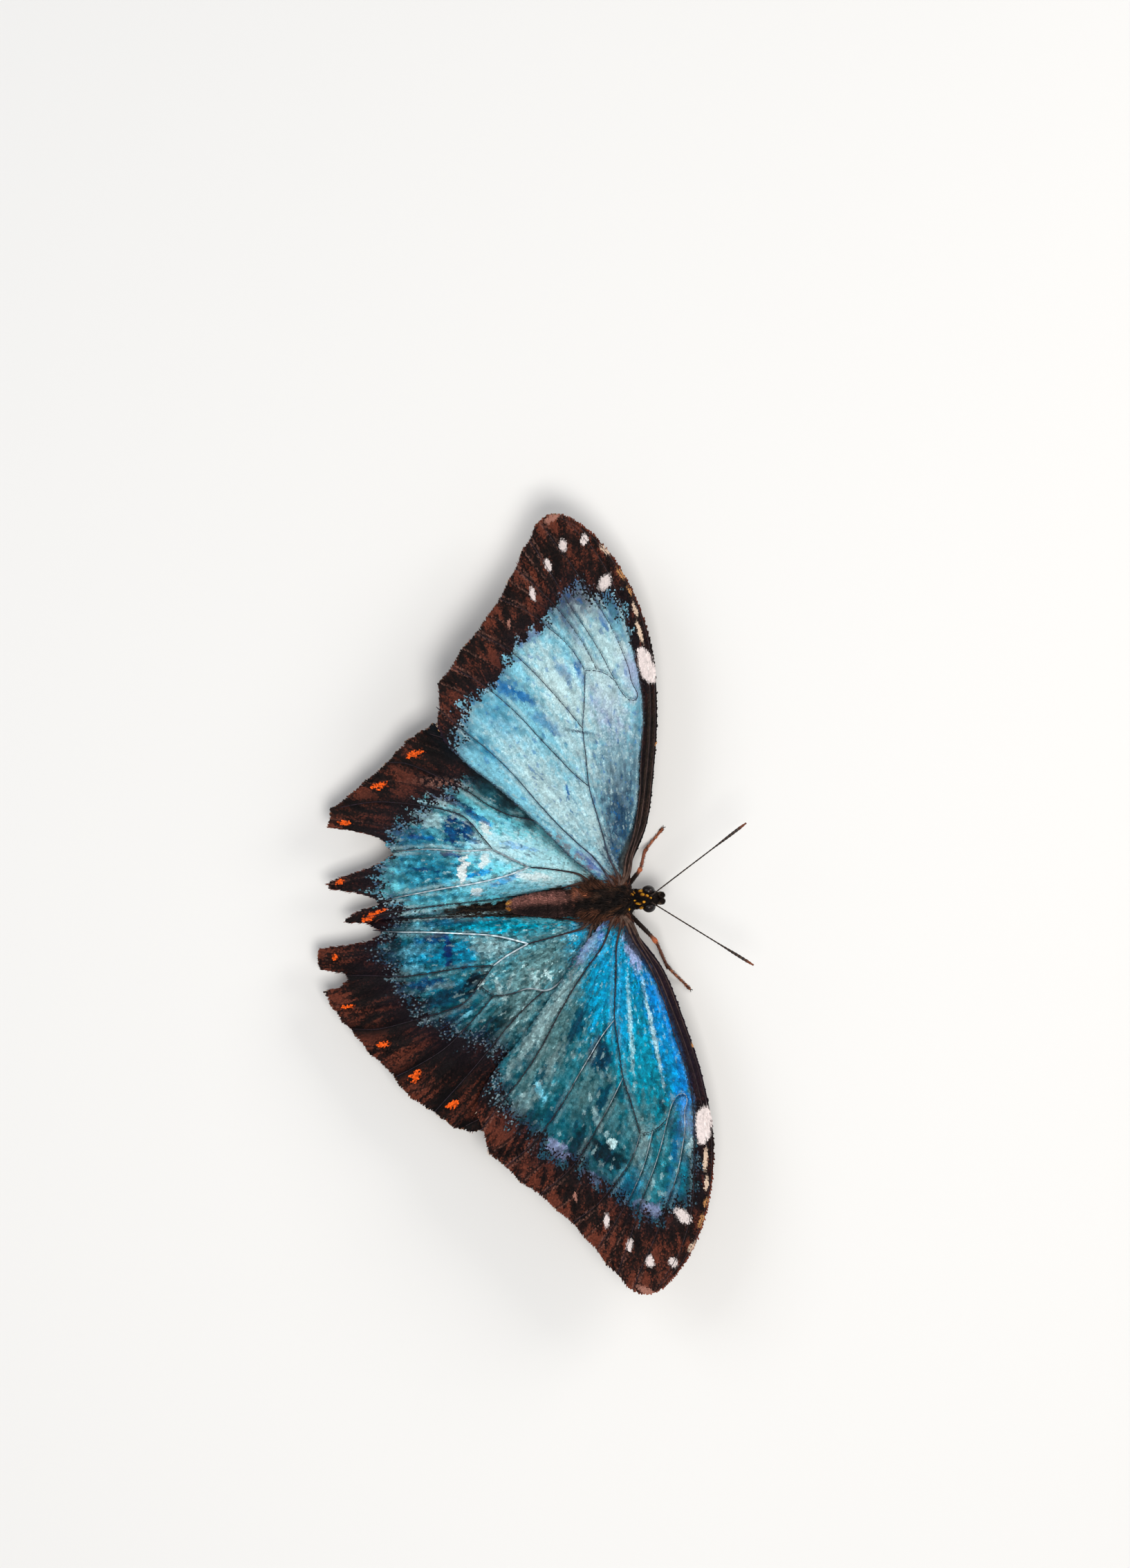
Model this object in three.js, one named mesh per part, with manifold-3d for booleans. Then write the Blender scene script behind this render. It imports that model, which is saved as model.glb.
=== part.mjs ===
// Blue morpho butterfly at rest with its wings spread flat: a life-size still model.
// Millimetres. +X points to the head along the body, +Y to the animal's left, +Z up.
// The tips of the four walking feet stand on small flats at z = 0.
import * as THREE from 'three';
import Module from 'manifold-3d';
import { mergeVertices } from 'three/addons/utils/BufferGeometryUtils.js';

const wasm = await Module();
wasm.setup();

// ---------------------------------------------------------------- driving dimensions
const GAP = 0.3;             // clear space between neighbouring solids
const WING_THICKNESS = 0.55;
const THORAX_Z = 8.0;        // height of the thorax's middle over the floor
const THORAX_RADIUS = 2.55;
const ABDOMEN_RADIUS = 2.25;
const HEAD_RADIUS = 1.75;
const EYE_RADIUS = 1.15;
const EYE_CENTRE = new THREE.Vector3(5.45, 1.32, 8.05);
const FEELER_RADIUS = 0.25;
const LEG_RADIUS = 0.36;
const FOOT_RADIUS = 0.26;
const WING_ROWS = 5;         // facets from a wing's root to its rim

const LEFT = 1;
const RIGHT = -1;

// ---------------------------------------------------------------- finishes
const finish = (colour, roughness, metalness = 0) =>
  new THREE.MeshStandardMaterial({ color: colour, roughness, metalness });

const FINISH = {
  blueScales: finish(0x3f9fd8, 0.35, 0.25),
  brownFur: finish(0x3a2418, 0.9),
  eye: finish(0x2a1510, 0.15),
  feeler: finish(0x241812, 0.6),
  leg: finish(0x7c4320, 0.6),
  palp: finish(0x2c1d14, 0.85),
  tongue: finish(0x3b2313, 0.4),
};

// ---------------------------------------------------------------- helpers
const vector = ([x, y, z = 0]) => new THREE.Vector3(x, y, z);

// The curve through the points, cut into as many equal steps as asked.
function smooth(points, steps) {
  const curve = new THREE.CatmullRomCurve3(points.map(vector), false, 'centripetal');
  return curve.getPoints(steps).map((p) => [p.x, p.y]);
}

// Moves every vertex of a geometry to where the function puts it.
function reshape(geometry, place) {
  const position = geometry.attributes.position;
  for (let i = 0; i < position.count; i += 1) {
    const p = place(new THREE.Vector3().fromBufferAttribute(position, i));
    position.setXYZ(i, p.x, p.y, p.z);
  }
  return geometry;
}

// A round tube through the joints, with a radius at each joint. `ref` is a direction that the
// tube never runs along, `wide` stretches the section sideways, and nothing goes under the floor.
function taper(joints, radii, { sides = 8, steps = 1, ref = [0, 0, 1], wide = 1 } = {}) {
  const path = new THREE.CatmullRomCurve3(joints.map(vector), false, 'centripetal');
  const size = new THREE.CatmullRomCurve3(radii.map((r) => new THREE.Vector3(r, 0, 0)));
  const rings = steps * (joints.length - 1);
  const tube = new THREE.CylinderGeometry(1, 1, 1, sides, rings);
  return reshape(tube, (p) => {
    const t = Math.min(1, Math.max(0, p.y + 0.5));
    const along = path.getTangent(t);
    const across = along.clone().cross(vector(ref)).normalize();
    const up = across.clone().cross(along);
    const radius = size.getPoint(t).x;
    const spot = path.getPoint(t);
    spot.addScaledVector(across, p.x * radius * wide).addScaledVector(up, p.z * radius);
    spot.z = Math.max(0, spot.z);
    return spot;
  });
}

// A mesh geometry as a manifold solid, and back again.
function toSolid(geometry) {
  const bare = geometry.clone();
  bare.deleteAttribute('normal');
  bare.deleteAttribute('uv');
  const merged = mergeVertices(bare, 1e-4);
  return new wasm.Manifold(new wasm.Mesh({
    numProp: 3,
    vertProperties: new Float32Array(merged.attributes.position.array),
    triVerts: new Uint32Array(merged.index.array),
  }));
}

function toGeometry(solid) {
  const mesh = solid.getMesh();
  const geometry = new THREE.BufferGeometry();
  geometry.setAttribute('position', new THREE.BufferAttribute(mesh.vertProperties, 3));
  geometry.setIndex(new THREE.BufferAttribute(mesh.triVerts, 1));
  return geometry;
}

const butterfly = new THREE.Group();

function add(name, geometry, material) {
  const mesh = new THREE.Mesh(geometry, material);
  mesh.name = name;
  butterfly.add(mesh);
}

const BOTH_SIDES = [['left', LEFT], ['right', RIGHT]];

// A list of joints given for the left side, on the side asked for.
const onSide = (side, joints) => joints.map(([x, y, z]) => [x, side * y, z]);

// ---------------------------------------------------------------- wings
// A wing is a thin plate ruled from a short root on the thorax out to the rim, a list of plan
// points from the front of the root to its back. `lie` gives the height over each plan point.
function wing({ root, rim, lie }) {
  const columns = rim.length - 1;
  const plate = new THREE.BoxGeometry(1, 1, 1, columns, WING_ROWS, 1);
  return reshape(plate, (p) => {
    const column = Math.round((0.5 - p.x) * columns);
    const out = p.y + 0.5;
    const start = [0, 1].map((k) => THREE.MathUtils.lerp(root[0][k], root[1][k], column / columns));
    const x = THREE.MathUtils.lerp(start[0], rim[column][0], out);
    const y = THREE.MathUtils.lerp(start[1], rim[column][1], out);
    return new THREE.Vector3(x, y, lie(x, y) + p.z * WING_THICKNESS);
  });
}

// Mirrors a wing drawn for the left, and turns its faces the right way out again.
function forSide(side, geometry) {
  if (side === LEFT) return geometry;
  geometry.scale(1, -1, 1);
  const index = geometry.index;
  for (let i = 0; i < index.count; i += 3) {
    const first = index.getX(i);
    index.setX(i, index.getX(i + 1));
    index.setX(i + 1, first);
  }
  return geometry;
}

// Forewing in its own axes: [chordwise towards the front edge, outwards along the span].
const FORE_COSTA = [
  [3.4, 0.6], [9.2, 5.0], [15.1, 12.4], [20.3, 20.0], [24.5, 28.2],
  [26.6, 35.8], [27.1, 43.5], [26.0, 50.0], [23.4, 55.2], [20.8, 56.6], [18.1, 56.1],
];
const FORE_NICKS = [
  [18.1, 56.1], [13.9, 53.6], [9.3, 50.4], [3.4, 47.2], [-3.3, 44.6], [-9.6, 41.7], [-13.4, 35.8],
];
const FORE_INNER = [
  [-13.4, 35.8], [-13.6, 33.0], [-12.2, 28.0], [-9.5, 21.6], [-6.8, 13.5], [-4.9, 6.5], [-2.4, 0.6],
];
const LOBE_BULGE = 0.35;     // how far the rim swells at a vein, between two nicks

// The outer margin: a shallow swelling between each nick, where a fold of the wing ends, and the next.
function lobedMargin(nicks, bulge) {
  const margin = [];
  for (let i = 0; i < nicks.length - 1; i += 1) {
    const [a, b] = [nicks[i], nicks[i + 1]];
    const length = Math.hypot(b[0] - a[0], b[1] - a[1]);
    const outwards = [(a[1] - b[1]) * -1 / length, (a[0] - b[0]) / length];
    for (const t of [1 / 3, 2 / 3, 1]) {
      const swell = bulge * Math.sin(Math.PI * t);
      margin.push([
        THREE.MathUtils.lerp(a[0], b[0], t) + outwards[0] * swell,
        THREE.MathUtils.lerp(a[1], b[1], t) + outwards[1] * swell,
      ]);
    }
  }
  return margin;
}

const FOREWING = {
  root: [[2.6, 2.95], [-1.6, 2.95]],
  hinge: [0.2, 3.75],
  height: 9.2,
  rim: [
    ...smooth(FORE_COSTA, 13),
    ...lobedMargin(FORE_NICKS, LOBE_BULGE),
    ...smooth(FORE_INNER, 7).slice(1),
  ],
  // sweep in degrees, chord scale, rise outwards, slope towards the front edge
  left: { sweep: 27.0, chord: 0.955, rise: 0.125, pitch: -0.07 },
  right: { sweep: 19.5, chord: 1.0, rise: 0.105, pitch: 0.0 },
};
const CAMBER = 0.0032;       // fall of the forewing away from its middle line, per mm squared
const TIP_DROOP = 2.2;       // fall of the forewing's tip under its straight line

function forewing(name, side) {
  const set = FOREWING[name];
  const turn = THREE.MathUtils.degToRad(set.sweep);
  const [hx, hy] = FOREWING.hinge;
  const toPlan = ([c, s]) => [
    hx + c * set.chord * Math.cos(turn) - s * Math.sin(turn),
    hy + c * set.chord * Math.sin(turn) + s * Math.cos(turn),
  ];
  const lie = (x, y) => {
    const c = (x - hx) * Math.cos(turn) + (y - hy) * Math.sin(turn);
    const s = (y - hy) * Math.cos(turn) - (x - hx) * Math.sin(turn);
    const camber = CAMBER * (c - 6) ** 2 * THREE.MathUtils.smoothstep(s, 0, 20);
    return FOREWING.height + set.rise * s + set.pitch * c - camber - TIP_DROOP * (s / 57) ** 3;
  };
  const plate = wing({ root: FOREWING.root, rim: FOREWING.rim.map(toPlan), lie });
  return forSide(side, plate);
}

// Hindwings in plan, [forwards, outwards from the body's middle]. Both are tattered, so each has
// its own rim: front edge under the forewing, whole margin, torn bays and the lobe at the tail.
const HIND_FRONT = {
  left: [[-2.9, 4.0], [-3.8, 8.0], [-6.6, 13.5], [-11.5, 20.0], [-17.0, 25.2], [-22.5, 29.0],
    [-26.3, 30.4], [-28.1, 30.3]],
  right: [[-2.9, 4.0], [-3.4, 8.5], [-5.2, 15.0], [-9.0, 23.0], [-13.5, 29.5], [-18.5, 34.0],
    [-23.0, 36.0], [-25.4, 36.4]],
};
const HIND_MARGIN = {
  left: [[-30.2, 29.2], [-32.5, 28.0], [-34.1, 26.3], [-37.0, 23.6], [-39.8, 21.6],
    [-42.6, 19.4], [-45.6, 17.4], [-46.4, 14.4]],
  right: [[-28.2, 35.5], [-30.3, 33.8], [-32.6, 32.0], [-35.0, 30.4], [-36.6, 28.4], [-38.3, 25.7],
    [-41.4, 22.9], [-43.4, 19.9], [-45.6, 17.4], [-47.4, 14.6], [-48.3, 12.4]],
};
const HIND_TATTERS = {
  left: [[-43.0, 13.9], [-39.8, 13.0], [-37.4, 12.0], [-35.7, 9.6], [-38.0, 8.1], [-41.0, 7.0],
    [-43.9, 6.3], [-47.2, 5.1], [-46.4, 4.3], [-42.6, 3.6], [-39.0, 2.4], [-38.4, 1.3],
    [-41.4, 0.6], [-43.4, -0.4], [-44.5, -1.3], [-41.6, -1.4], [-38.2, -1.0]],
  right: [[-46.0, 12.1], [-44.2, 10.8], [-44.7, 9.6], [-48.6, 8.8], [-49.0, 8.0], [-48.8, 5.5],
    [-44.6, 5.2], [-40.2, 4.6], [-38.3, 3.4], [-39.7, 2.2], [-41.3, 1.5], [-38.2, 0.9]],
};
const HIND_INNER = {
  left: [[-33.0, -0.5], [-26.0, -0.2], [-20.0, 0.5], [-16.0, 1.0], [-12.0, 1.3], [-9.0, 1.9],
    [-6.8, 2.5]],
  right: [[-33.0, 0.7], [-26.0, 0.6], [-20.0, 0.9], [-16.0, 1.1], [-12.0, 1.3], [-9.0, 1.9],
    [-6.8, 2.5]],
};
const HINDWING = {
  root: [[-2.7, 3.1], [-4.9, 3.1]],
  height: 7.6,
  fall: 0.055,               // downward slope towards the tail
  gutter: 3.0,               // depth of the channel in which the abdomen lies
  gutterWidth: 2.6,
  left: { rise: 0.085, lap: 0.75 },
  right: { rise: 0.085, lap: -0.75 },
};

function hindwing(name, side) {
  const set = HINDWING[name];
  const lie = (x, y) => {
    const underBody = THREE.MathUtils.smoothstep(-x, 4, 8) - 0.8 * THREE.MathUtils.smoothstep(-x, 17, 28);
    const channel = HINDWING.gutter * Math.exp(-((y / HINDWING.gutterWidth) ** 2)) * underBody;
    const behind = THREE.MathUtils.smoothstep(-x, 18, 34) * Math.exp(-((y / 5) ** 2));
    return HINDWING.height + set.rise * (y - 3) + HINDWING.fall * (x + 4) - channel + set.lap * behind;
  };
  const rim = [
    ...smooth(HIND_FRONT[name], 9),
    ...HIND_MARGIN[name],
    ...HIND_TATTERS[name],
    ...HIND_INNER[name],
  ];
  return forSide(side, wing({ root: HINDWING.root, rim, lie }));
}

for (const [name, side] of BOTH_SIDES) {
  add(`forewing_${name}`, forewing(name, side), FINISH.blueScales);
  add(`hindwing_${name}`, hindwing(name, side), FINISH.blueScales);
}

// ---------------------------------------------------------------- thorax and abdomen
const thorax = taper(
  [[-4.5, 0, 7.7], [-3.9, 0, 7.8], [-2.4, 0, 8.0], [-0.6, 0, THORAX_Z], [1.2, 0, 8.0], [2.4, 0, 7.9],
    [2.95, 0, 7.8]],
  [0.9, 1.65, 2.3, THORAX_RADIUS, 2.3, 1.55, 0.7],
  { sides: 16 },
);
add('thorax', thorax, FINISH.brownFur);

// Ten rings, each swelling a little over the next, from the waist to the blunt tip.
const ABDOMEN_SPINE = [[-4.85, 7.45], [-8.5, 7.5], [-12.5, 7.3], [-16.0, 6.9], [-17.9, 6.6]];
const ABDOMEN_SWELL = [0.74, 1.0, 0.92, 0.66, 0.32];
const ABDOMEN_RINGS = 10;
const RING_PINCH = 0.96;     // width at the joint between two rings, against the ring's middle
function abdomen() {
  const stations = 2 * ABDOMEN_RINGS;
  const joints = smooth(ABDOMEN_SPINE, stations).map(([x, z]) => [x, 0, z]);
  const swell = smooth(ABDOMEN_SWELL.map((size, i) => [i, size]), stations);
  const radii = swell.map(([, size], i) => ABDOMEN_RADIUS * size * (i % 2 ? 1 : RING_PINCH));
  return taper(joints, radii, { sides: 14, wide: 1.02 });
}
add('abdomen', abdomen(), FINISH.brownFur);

// ---------------------------------------------------------------- head
const eyeBall = (radius) => {
  const ball = new THREE.SphereGeometry(radius, 14, 10);
  ball.scale(0.95, 0.8, 1.12);
  return ball;
};

function placedEye(side, radius) {
  const ball = eyeBall(radius);
  ball.translate(EYE_CENTRE.x, side * EYE_CENTRE.y, EYE_CENTRE.z);
  return ball;
}

function head() {
  const block = taper(
    [[3.3, 0, 7.7], [3.7, 0, 7.8], [4.7, 0, 8.0], [5.7, 0, 7.9], [6.4, 0, 7.6], [6.75, 0, 7.4]],
    [0.8, 1.3, HEAD_RADIUS, 1.6, 1.0, 0.45],
    { sides: 16, wide: 1.05 },
  );
  let solid = toSolid(block);
  for (const [, side] of BOTH_SIDES) solid = solid.subtract(toSolid(placedEye(side, EYE_RADIUS + GAP)));
  return toGeometry(solid);
}
add('head', head(), FINISH.brownFur);
for (const [name, side] of BOTH_SIDES) add(`eye_${name}`, placedEye(side, EYE_RADIUS), FINISH.eye);

// The two palps curve up in front of the face, side by side.
for (const [name, side] of BOTH_SIDES) {
  const joints = [
    [6.5, 0.5, 6.15], [7.1, 0.52, 6.5], [7.55, 0.52, 7.2], [7.7, 0.48, 8.0], [7.65, 0.45, 8.7],
  ];
  const palp = taper(onSide(side, joints), [0.25, 0.36, 0.36, 0.3, 0.25], { ref: [0, 1, 0] });
  add(`palp_${name}`, palp, FINISH.palp);
}

// The tongue is a coil in the body's middle plane, under the face.
const COIL = { centre: [5.5, 4.55], outer: 1.32, inner: 0.42, turns: 1.15, steps: 18, start: 1.35 };
function tongue() {
  const joints = [];
  for (let i = 0; i <= COIL.steps; i += 1) {
    const t = i / COIL.steps;
    const angle = COIL.start - t * COIL.turns * 2 * Math.PI;
    const radius = THREE.MathUtils.lerp(COIL.outer, COIL.inner, t);
    const [cx, cz] = COIL.centre;
    joints.push([cx + radius * Math.cos(angle), 0, cz + radius * Math.sin(angle)]);
  }
  const radii = joints.map(() => FEELER_RADIUS);
  return taper(joints, radii, { sides: 6, ref: [0, 1, 0] });
}
add('tongue', tongue(), FINISH.tongue);

// Each antenna runs straight out and a little up from the crown to a slender club.
const ANTENNA_ROOT = [6.15, 0.75, 9.6];
const ANTENNA_TIP = [21.9, 11.6, 13.2];
for (const [name, side] of BOTH_SIDES) {
  const joints = [0, 0.04, 0.25, 0.5, 0.72, 0.82, 0.92, 1].map((t) => [0, 1, 2].map(
    (k) => THREE.MathUtils.lerp(ANTENNA_ROOT[k], ANTENNA_TIP[k], t),
  ));
  const radii = [0.3, 0.26, 0.25, 0.25, 0.25, 0.31, 0.34, 0.25];
  add(`antenna_${name}`, taper(onSide(side, joints), radii, { sides: 6 }), FINISH.feeler);
}

// ---------------------------------------------------------------- legs
// Hip, thigh, knee, shin, ankle, then the foot, whose last joint rests on the floor.
function leg(side, hip, knee, ankle, toe) {
  const between = (a, b, t) => a.map((value, k) => THREE.MathUtils.lerp(value, b[k], t));
  const heel = between(ankle, toe, 0.72);
  heel[2] = FOOT_RADIUS * 0.8;
  const joints = [
    hip, between(hip, knee, 0.15), between(hip, knee, 0.55), between(hip, knee, 0.93), knee,
    between(knee, ankle, 0.1), between(knee, ankle, 0.6), ankle, between(ankle, toe, 0.3), heel, toe,
  ];
  const thick = [0.42, 0.5, 0.44, LEG_RADIUS, LEG_RADIUS, 0.32, 0.3, 0.3, FOOT_RADIUS, FOOT_RADIUS,
    FOOT_RADIUS];
  return taper(onSide(side, joints), thick, { sides: 7 });
}

const TOE_Z = FOOT_RADIUS * 0.8;   // the toe's middle, so that its underside is a flat at z = 0
const LEGS = {
  midleg_left: [LEFT, [1.3, 1.2, 5.0], [4.3, 4.8, 7.3], [5.3, 7.8, 2.0], [8.5, 11.4, TOE_Z]],
  midleg_right: [RIGHT, [1.3, 1.2, 5.0], [6.2, 6.9, 6.9], [8.0, 11.4, 2.0], [11.6, 15.4, TOE_Z]],
  hindleg_left: [LEFT, [-1.9, 1.2, 4.95], [-6.0, 5.4, 5.0], [-10.2, 8.6, 1.6], [-14.0, 11.2, TOE_Z]],
  hindleg_right: [RIGHT, [-1.9, 1.2, 4.95], [-5.6, 5.8, 5.0], [-9.2, 9.6, 1.6], [-12.6, 12.8, TOE_Z]],
};
for (const [name, [side, ...joints]] of Object.entries(LEGS)) {
  add(name, leg(side, ...joints), FINISH.leg);
}

// The small brush-like forelegs are folded against the breast and never reach the floor.
for (const [name, side] of BOTH_SIDES) {
  const joints = [[2.4, 1.3, 5.3], [3.3, 1.35, 4.9], [4.3, 1.3, 5.0], [4.9, 1.2, 5.4]];
  add(`foreleg_${name}`, taper(onSide(side, joints), [0.25, 0.32, 0.3, 0.25]), FINISH.leg);
}

// ---------------------------------------------------------------- origin
// The origin is the middle of the whole model's footprint, on the floor.
const box = new THREE.Box3().setFromObject(butterfly);
const middle = box.getCenter(new THREE.Vector3());
butterfly.position.set(-middle.x, -middle.y, -box.min.z);

export default butterfly;
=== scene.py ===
# %% [markdown]
# # A blue morpho butterfly
#
# This lesson dresses a plain solid model of a blue morpho, a butterfly with a 127 mm span that rests
# with its wings spread. The solids already give every part its place and size. What makes the
# animal is on top: tens of thousands of scales that lie like roof tiles on four thin wings, raised
# veins, a furry trunk, faceted eyes and banded legs. Each is worked out with numpy and handed to
# Blender as one mesh.

# %% Load the fixed frame
import math

import bpy
import numpy as np
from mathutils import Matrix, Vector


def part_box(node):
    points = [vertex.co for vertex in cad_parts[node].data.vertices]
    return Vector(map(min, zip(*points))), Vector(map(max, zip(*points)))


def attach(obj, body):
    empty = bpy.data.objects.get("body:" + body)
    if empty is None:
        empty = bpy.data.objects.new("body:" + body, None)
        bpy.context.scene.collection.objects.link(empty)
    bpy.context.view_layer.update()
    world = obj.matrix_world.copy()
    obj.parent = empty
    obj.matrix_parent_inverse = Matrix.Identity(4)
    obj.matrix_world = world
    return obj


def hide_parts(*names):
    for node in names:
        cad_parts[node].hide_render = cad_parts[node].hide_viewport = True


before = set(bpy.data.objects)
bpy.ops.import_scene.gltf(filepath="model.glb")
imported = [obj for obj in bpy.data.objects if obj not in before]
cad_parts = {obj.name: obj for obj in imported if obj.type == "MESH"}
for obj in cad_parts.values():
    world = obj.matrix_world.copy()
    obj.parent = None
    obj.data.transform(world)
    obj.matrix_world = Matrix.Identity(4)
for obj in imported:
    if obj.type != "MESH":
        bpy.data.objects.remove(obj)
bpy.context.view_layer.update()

# %% [markdown]
# ## The body's own millimetres
#
# It is easier to think of a butterfly from its own middle than from a corner of the world. The
# lesson works in millimetres, with x towards the head, y to the animal's left and z up from the
# floor, and puts the origin under the shoulders. The two eyes tell where that is in the frame:
# their balls are exact, so half way between them is a place that both systems know.

# %% Units and the step from body millimetres to the frame
MM = 0.001
EYE = np.array([5.45, 1.32, 8.05])           # middle of the left eye
EYE_RADII = 1.15 * np.array([0.95, 0.8, 1.12])
SIDES = {"left": 1.0, "right": -1.0}

eye_boxes = np.array([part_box(f"eye_{name}") for name in SIDES])
between_eyes = eye_boxes.mean(axis=(0, 1)) / MM
BODY_ORIGIN = np.array([between_eyes[0] - EYE[0], between_eyes[1], 0.0])


def to_frame(points):
    """Body millimetres to the frame's metres: add the origin's place, then scale."""
    return (np.asarray(points) + BODY_ORIGIN) * MM


print("body origin at", BODY_ORIGIN.round(2), "mm")

# %% [markdown]
# ## Small tools for numbers
#
# Four things come back all through the lesson. A soft step turns a distance into a mask with a
# blurred edge, and a bell turns it into a soft line. A mix lays one colour over another by such a
# mask. Mottle is a field of soft patches: many sine waves that run in random directions add up to
# something that looks natural, and a fixed seed makes it the same each time.

# %% Masks, colours and patches
def step(value, low, high):
    """0 below low, 1 above high, and 3t^2 - 2t^3 between them."""
    t = np.clip((value - low) / (high - low), 0, 1)
    return t * t * (3 - 2 * t)


def paint(red, green, blue):
    """Linear light for a colour given as the 0 to 255 values of a screen."""
    value = np.array([red, green, blue]) / 255
    return np.where(value <= 0.04045, value / 12.92, ((value + 0.055) / 1.055) ** 2.4)


def bell(value, width):
    """exp(-(value / width)^2): 1 at zero, and next to nothing two widths away."""
    return np.exp(-((value / width) ** 2))


def mix(base, over, weight):
    """Colours moved from base towards over by a weight for each point."""
    return base + (over - base) * np.asarray(weight)[..., None]


def mottle(points, size, seed, waves=14):
    """Soft patches about size mm across, mostly between -2 and 2: a sum of sine waves."""
    rng = np.random.default_rng(seed)
    angle = rng.uniform(0, 2 * np.pi, waves)
    pitch = np.pi / (size * rng.uniform(0.6, 1.5, waves))
    reach = np.stack([np.cos(angle), np.sin(angle)]) * pitch
    return np.sin(points @ reach + rng.uniform(0, 2 * np.pi, waves)).sum(-1) / math.sqrt(waves / 2)


def unit(vectors):
    """Vectors scaled to length one."""
    return vectors / np.maximum(np.linalg.norm(vectors, axis=-1, keepdims=True), 1e-9)


def unrolled(share, angle):
    """Places on a map of an unrolled tube: a share of its length, and the angle round it."""
    return np.stack([0.02 + 0.96 * share, 0.02 + 0.96 * angle / (2 * np.pi)], axis=1)


# %% [markdown]
# ## Curves from a few points
#
# Outlines and veins are drawn from a handful of points. A centripetal Catmull-Rom curve passes
# through all of them and never loops at a tight corner, so it is what a person would sketch.

# %% Curves and distances
def smooth_line(points, steps):
    """The centripetal Catmull-Rom curve through the points, with a number of steps in each span.

    Each span blends four neighbours by the Barry-Goldman pyramid of straight-line mixes, with knots
    spaced by the square root of the distance between points."""
    p = np.asarray(points, float)
    p = np.vstack([2 * p[0] - p[1], p, 2 * p[-1] - p[-2]])
    gap = np.sqrt(np.linalg.norm(np.diff(p, axis=0), axis=1)) + 1e-9
    k1, k2, k3 = gap[:-2], gap[:-2] + gap[1:-1], gap[:-2] + gap[1:-1] + gap[2:]
    k1, k2, k3 = (k[:, None, None] for k in (k1, k2, k3))
    t = k1 + (k2 - k1) * np.linspace(0, 1, steps, endpoint=False)[None, :, None]
    q0, q1, q2, q3 = (p[i : len(p) - 3 + i][:, None, :] for i in range(4))
    a1 = (k1 - t) / k1 * q0 + t / k1 * q1
    a2 = (k2 - t) / (k2 - k1) * q1 + (t - k1) / (k2 - k1) * q2
    a3 = (k3 - t) / (k3 - k2) * q2 + (t - k2) / (k3 - k2) * q3
    b1 = (k2 - t) / k2 * a1 + t / k2 * a2
    b2 = (k3 - t) / (k3 - k1) * a2 + (t - k1) / (k3 - k1) * a3
    curve = (k2 - t) / (k2 - k1) * b1 + (t - k1) / (k2 - k1) * b2
    return np.vstack([curve.reshape(-1, p.shape[1]), p[-2]])


def even_line(points, pitch):
    """The polyline through the points, cut again into even steps of about pitch mm."""
    p = np.asarray(points, float)
    run = np.concatenate([[0], np.cumsum(np.linalg.norm(np.diff(p, axis=0), axis=1))])
    at = np.linspace(0, run[-1], max(2, round(run[-1] / pitch) + 1))
    return np.stack([np.interp(at, run, p[:, k]) for k in range(p.shape[1])], axis=1)


def distance(points, lines):
    """Distance from each flat point to the nearest of the polylines."""
    a = np.vstack([line[:-1] for line in lines])
    b = np.vstack([line[1:] for line in lines])
    along = b - a
    found = np.full(len(points), 1e9)
    for start, span in zip(a, along):
        t = np.clip(((points - start) @ span) / (span @ span + 1e-12), 0, 1)
        gap = points - start - t[:, None] * span
        found = np.minimum(found, np.einsum("ij,ij->i", gap, gap))
    return np.sqrt(found)


def depth_inside(points, outline):
    """Distance to a closed outline, positive inside and negative outside.

    A point is inside if a ray from it towards +x crosses the outline an odd number of times."""
    ring = np.vstack([outline, outline[:1]])
    inside = np.zeros(len(points), bool)
    x, y = points.T
    for (x1, y1), (x2, y2) in zip(ring[:-1], ring[1:]):
        if y1 != y2:
            crossing = (y1 > y) != (y2 > y)
            inside ^= crossing & (x < (x2 - x1) * (y - y1) / (y2 - y1) + x1)
    return np.where(inside, 1, -1) * distance(points, [ring])


# %% [markdown]
# ## From arrays to meshes
#
# Blender takes whole arrays of corners with foreach_set, which is hundreds of times quicker than
# adding faces one at a time. Colours travel with the mesh as an attribute for each point, called
# shade, and a second one called gleam says how metallic the scales are there. Coat pieces also get
# the map named OFBake: every scale or tuft is a tiny patch at its root's place on the unrolled skin.

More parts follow.
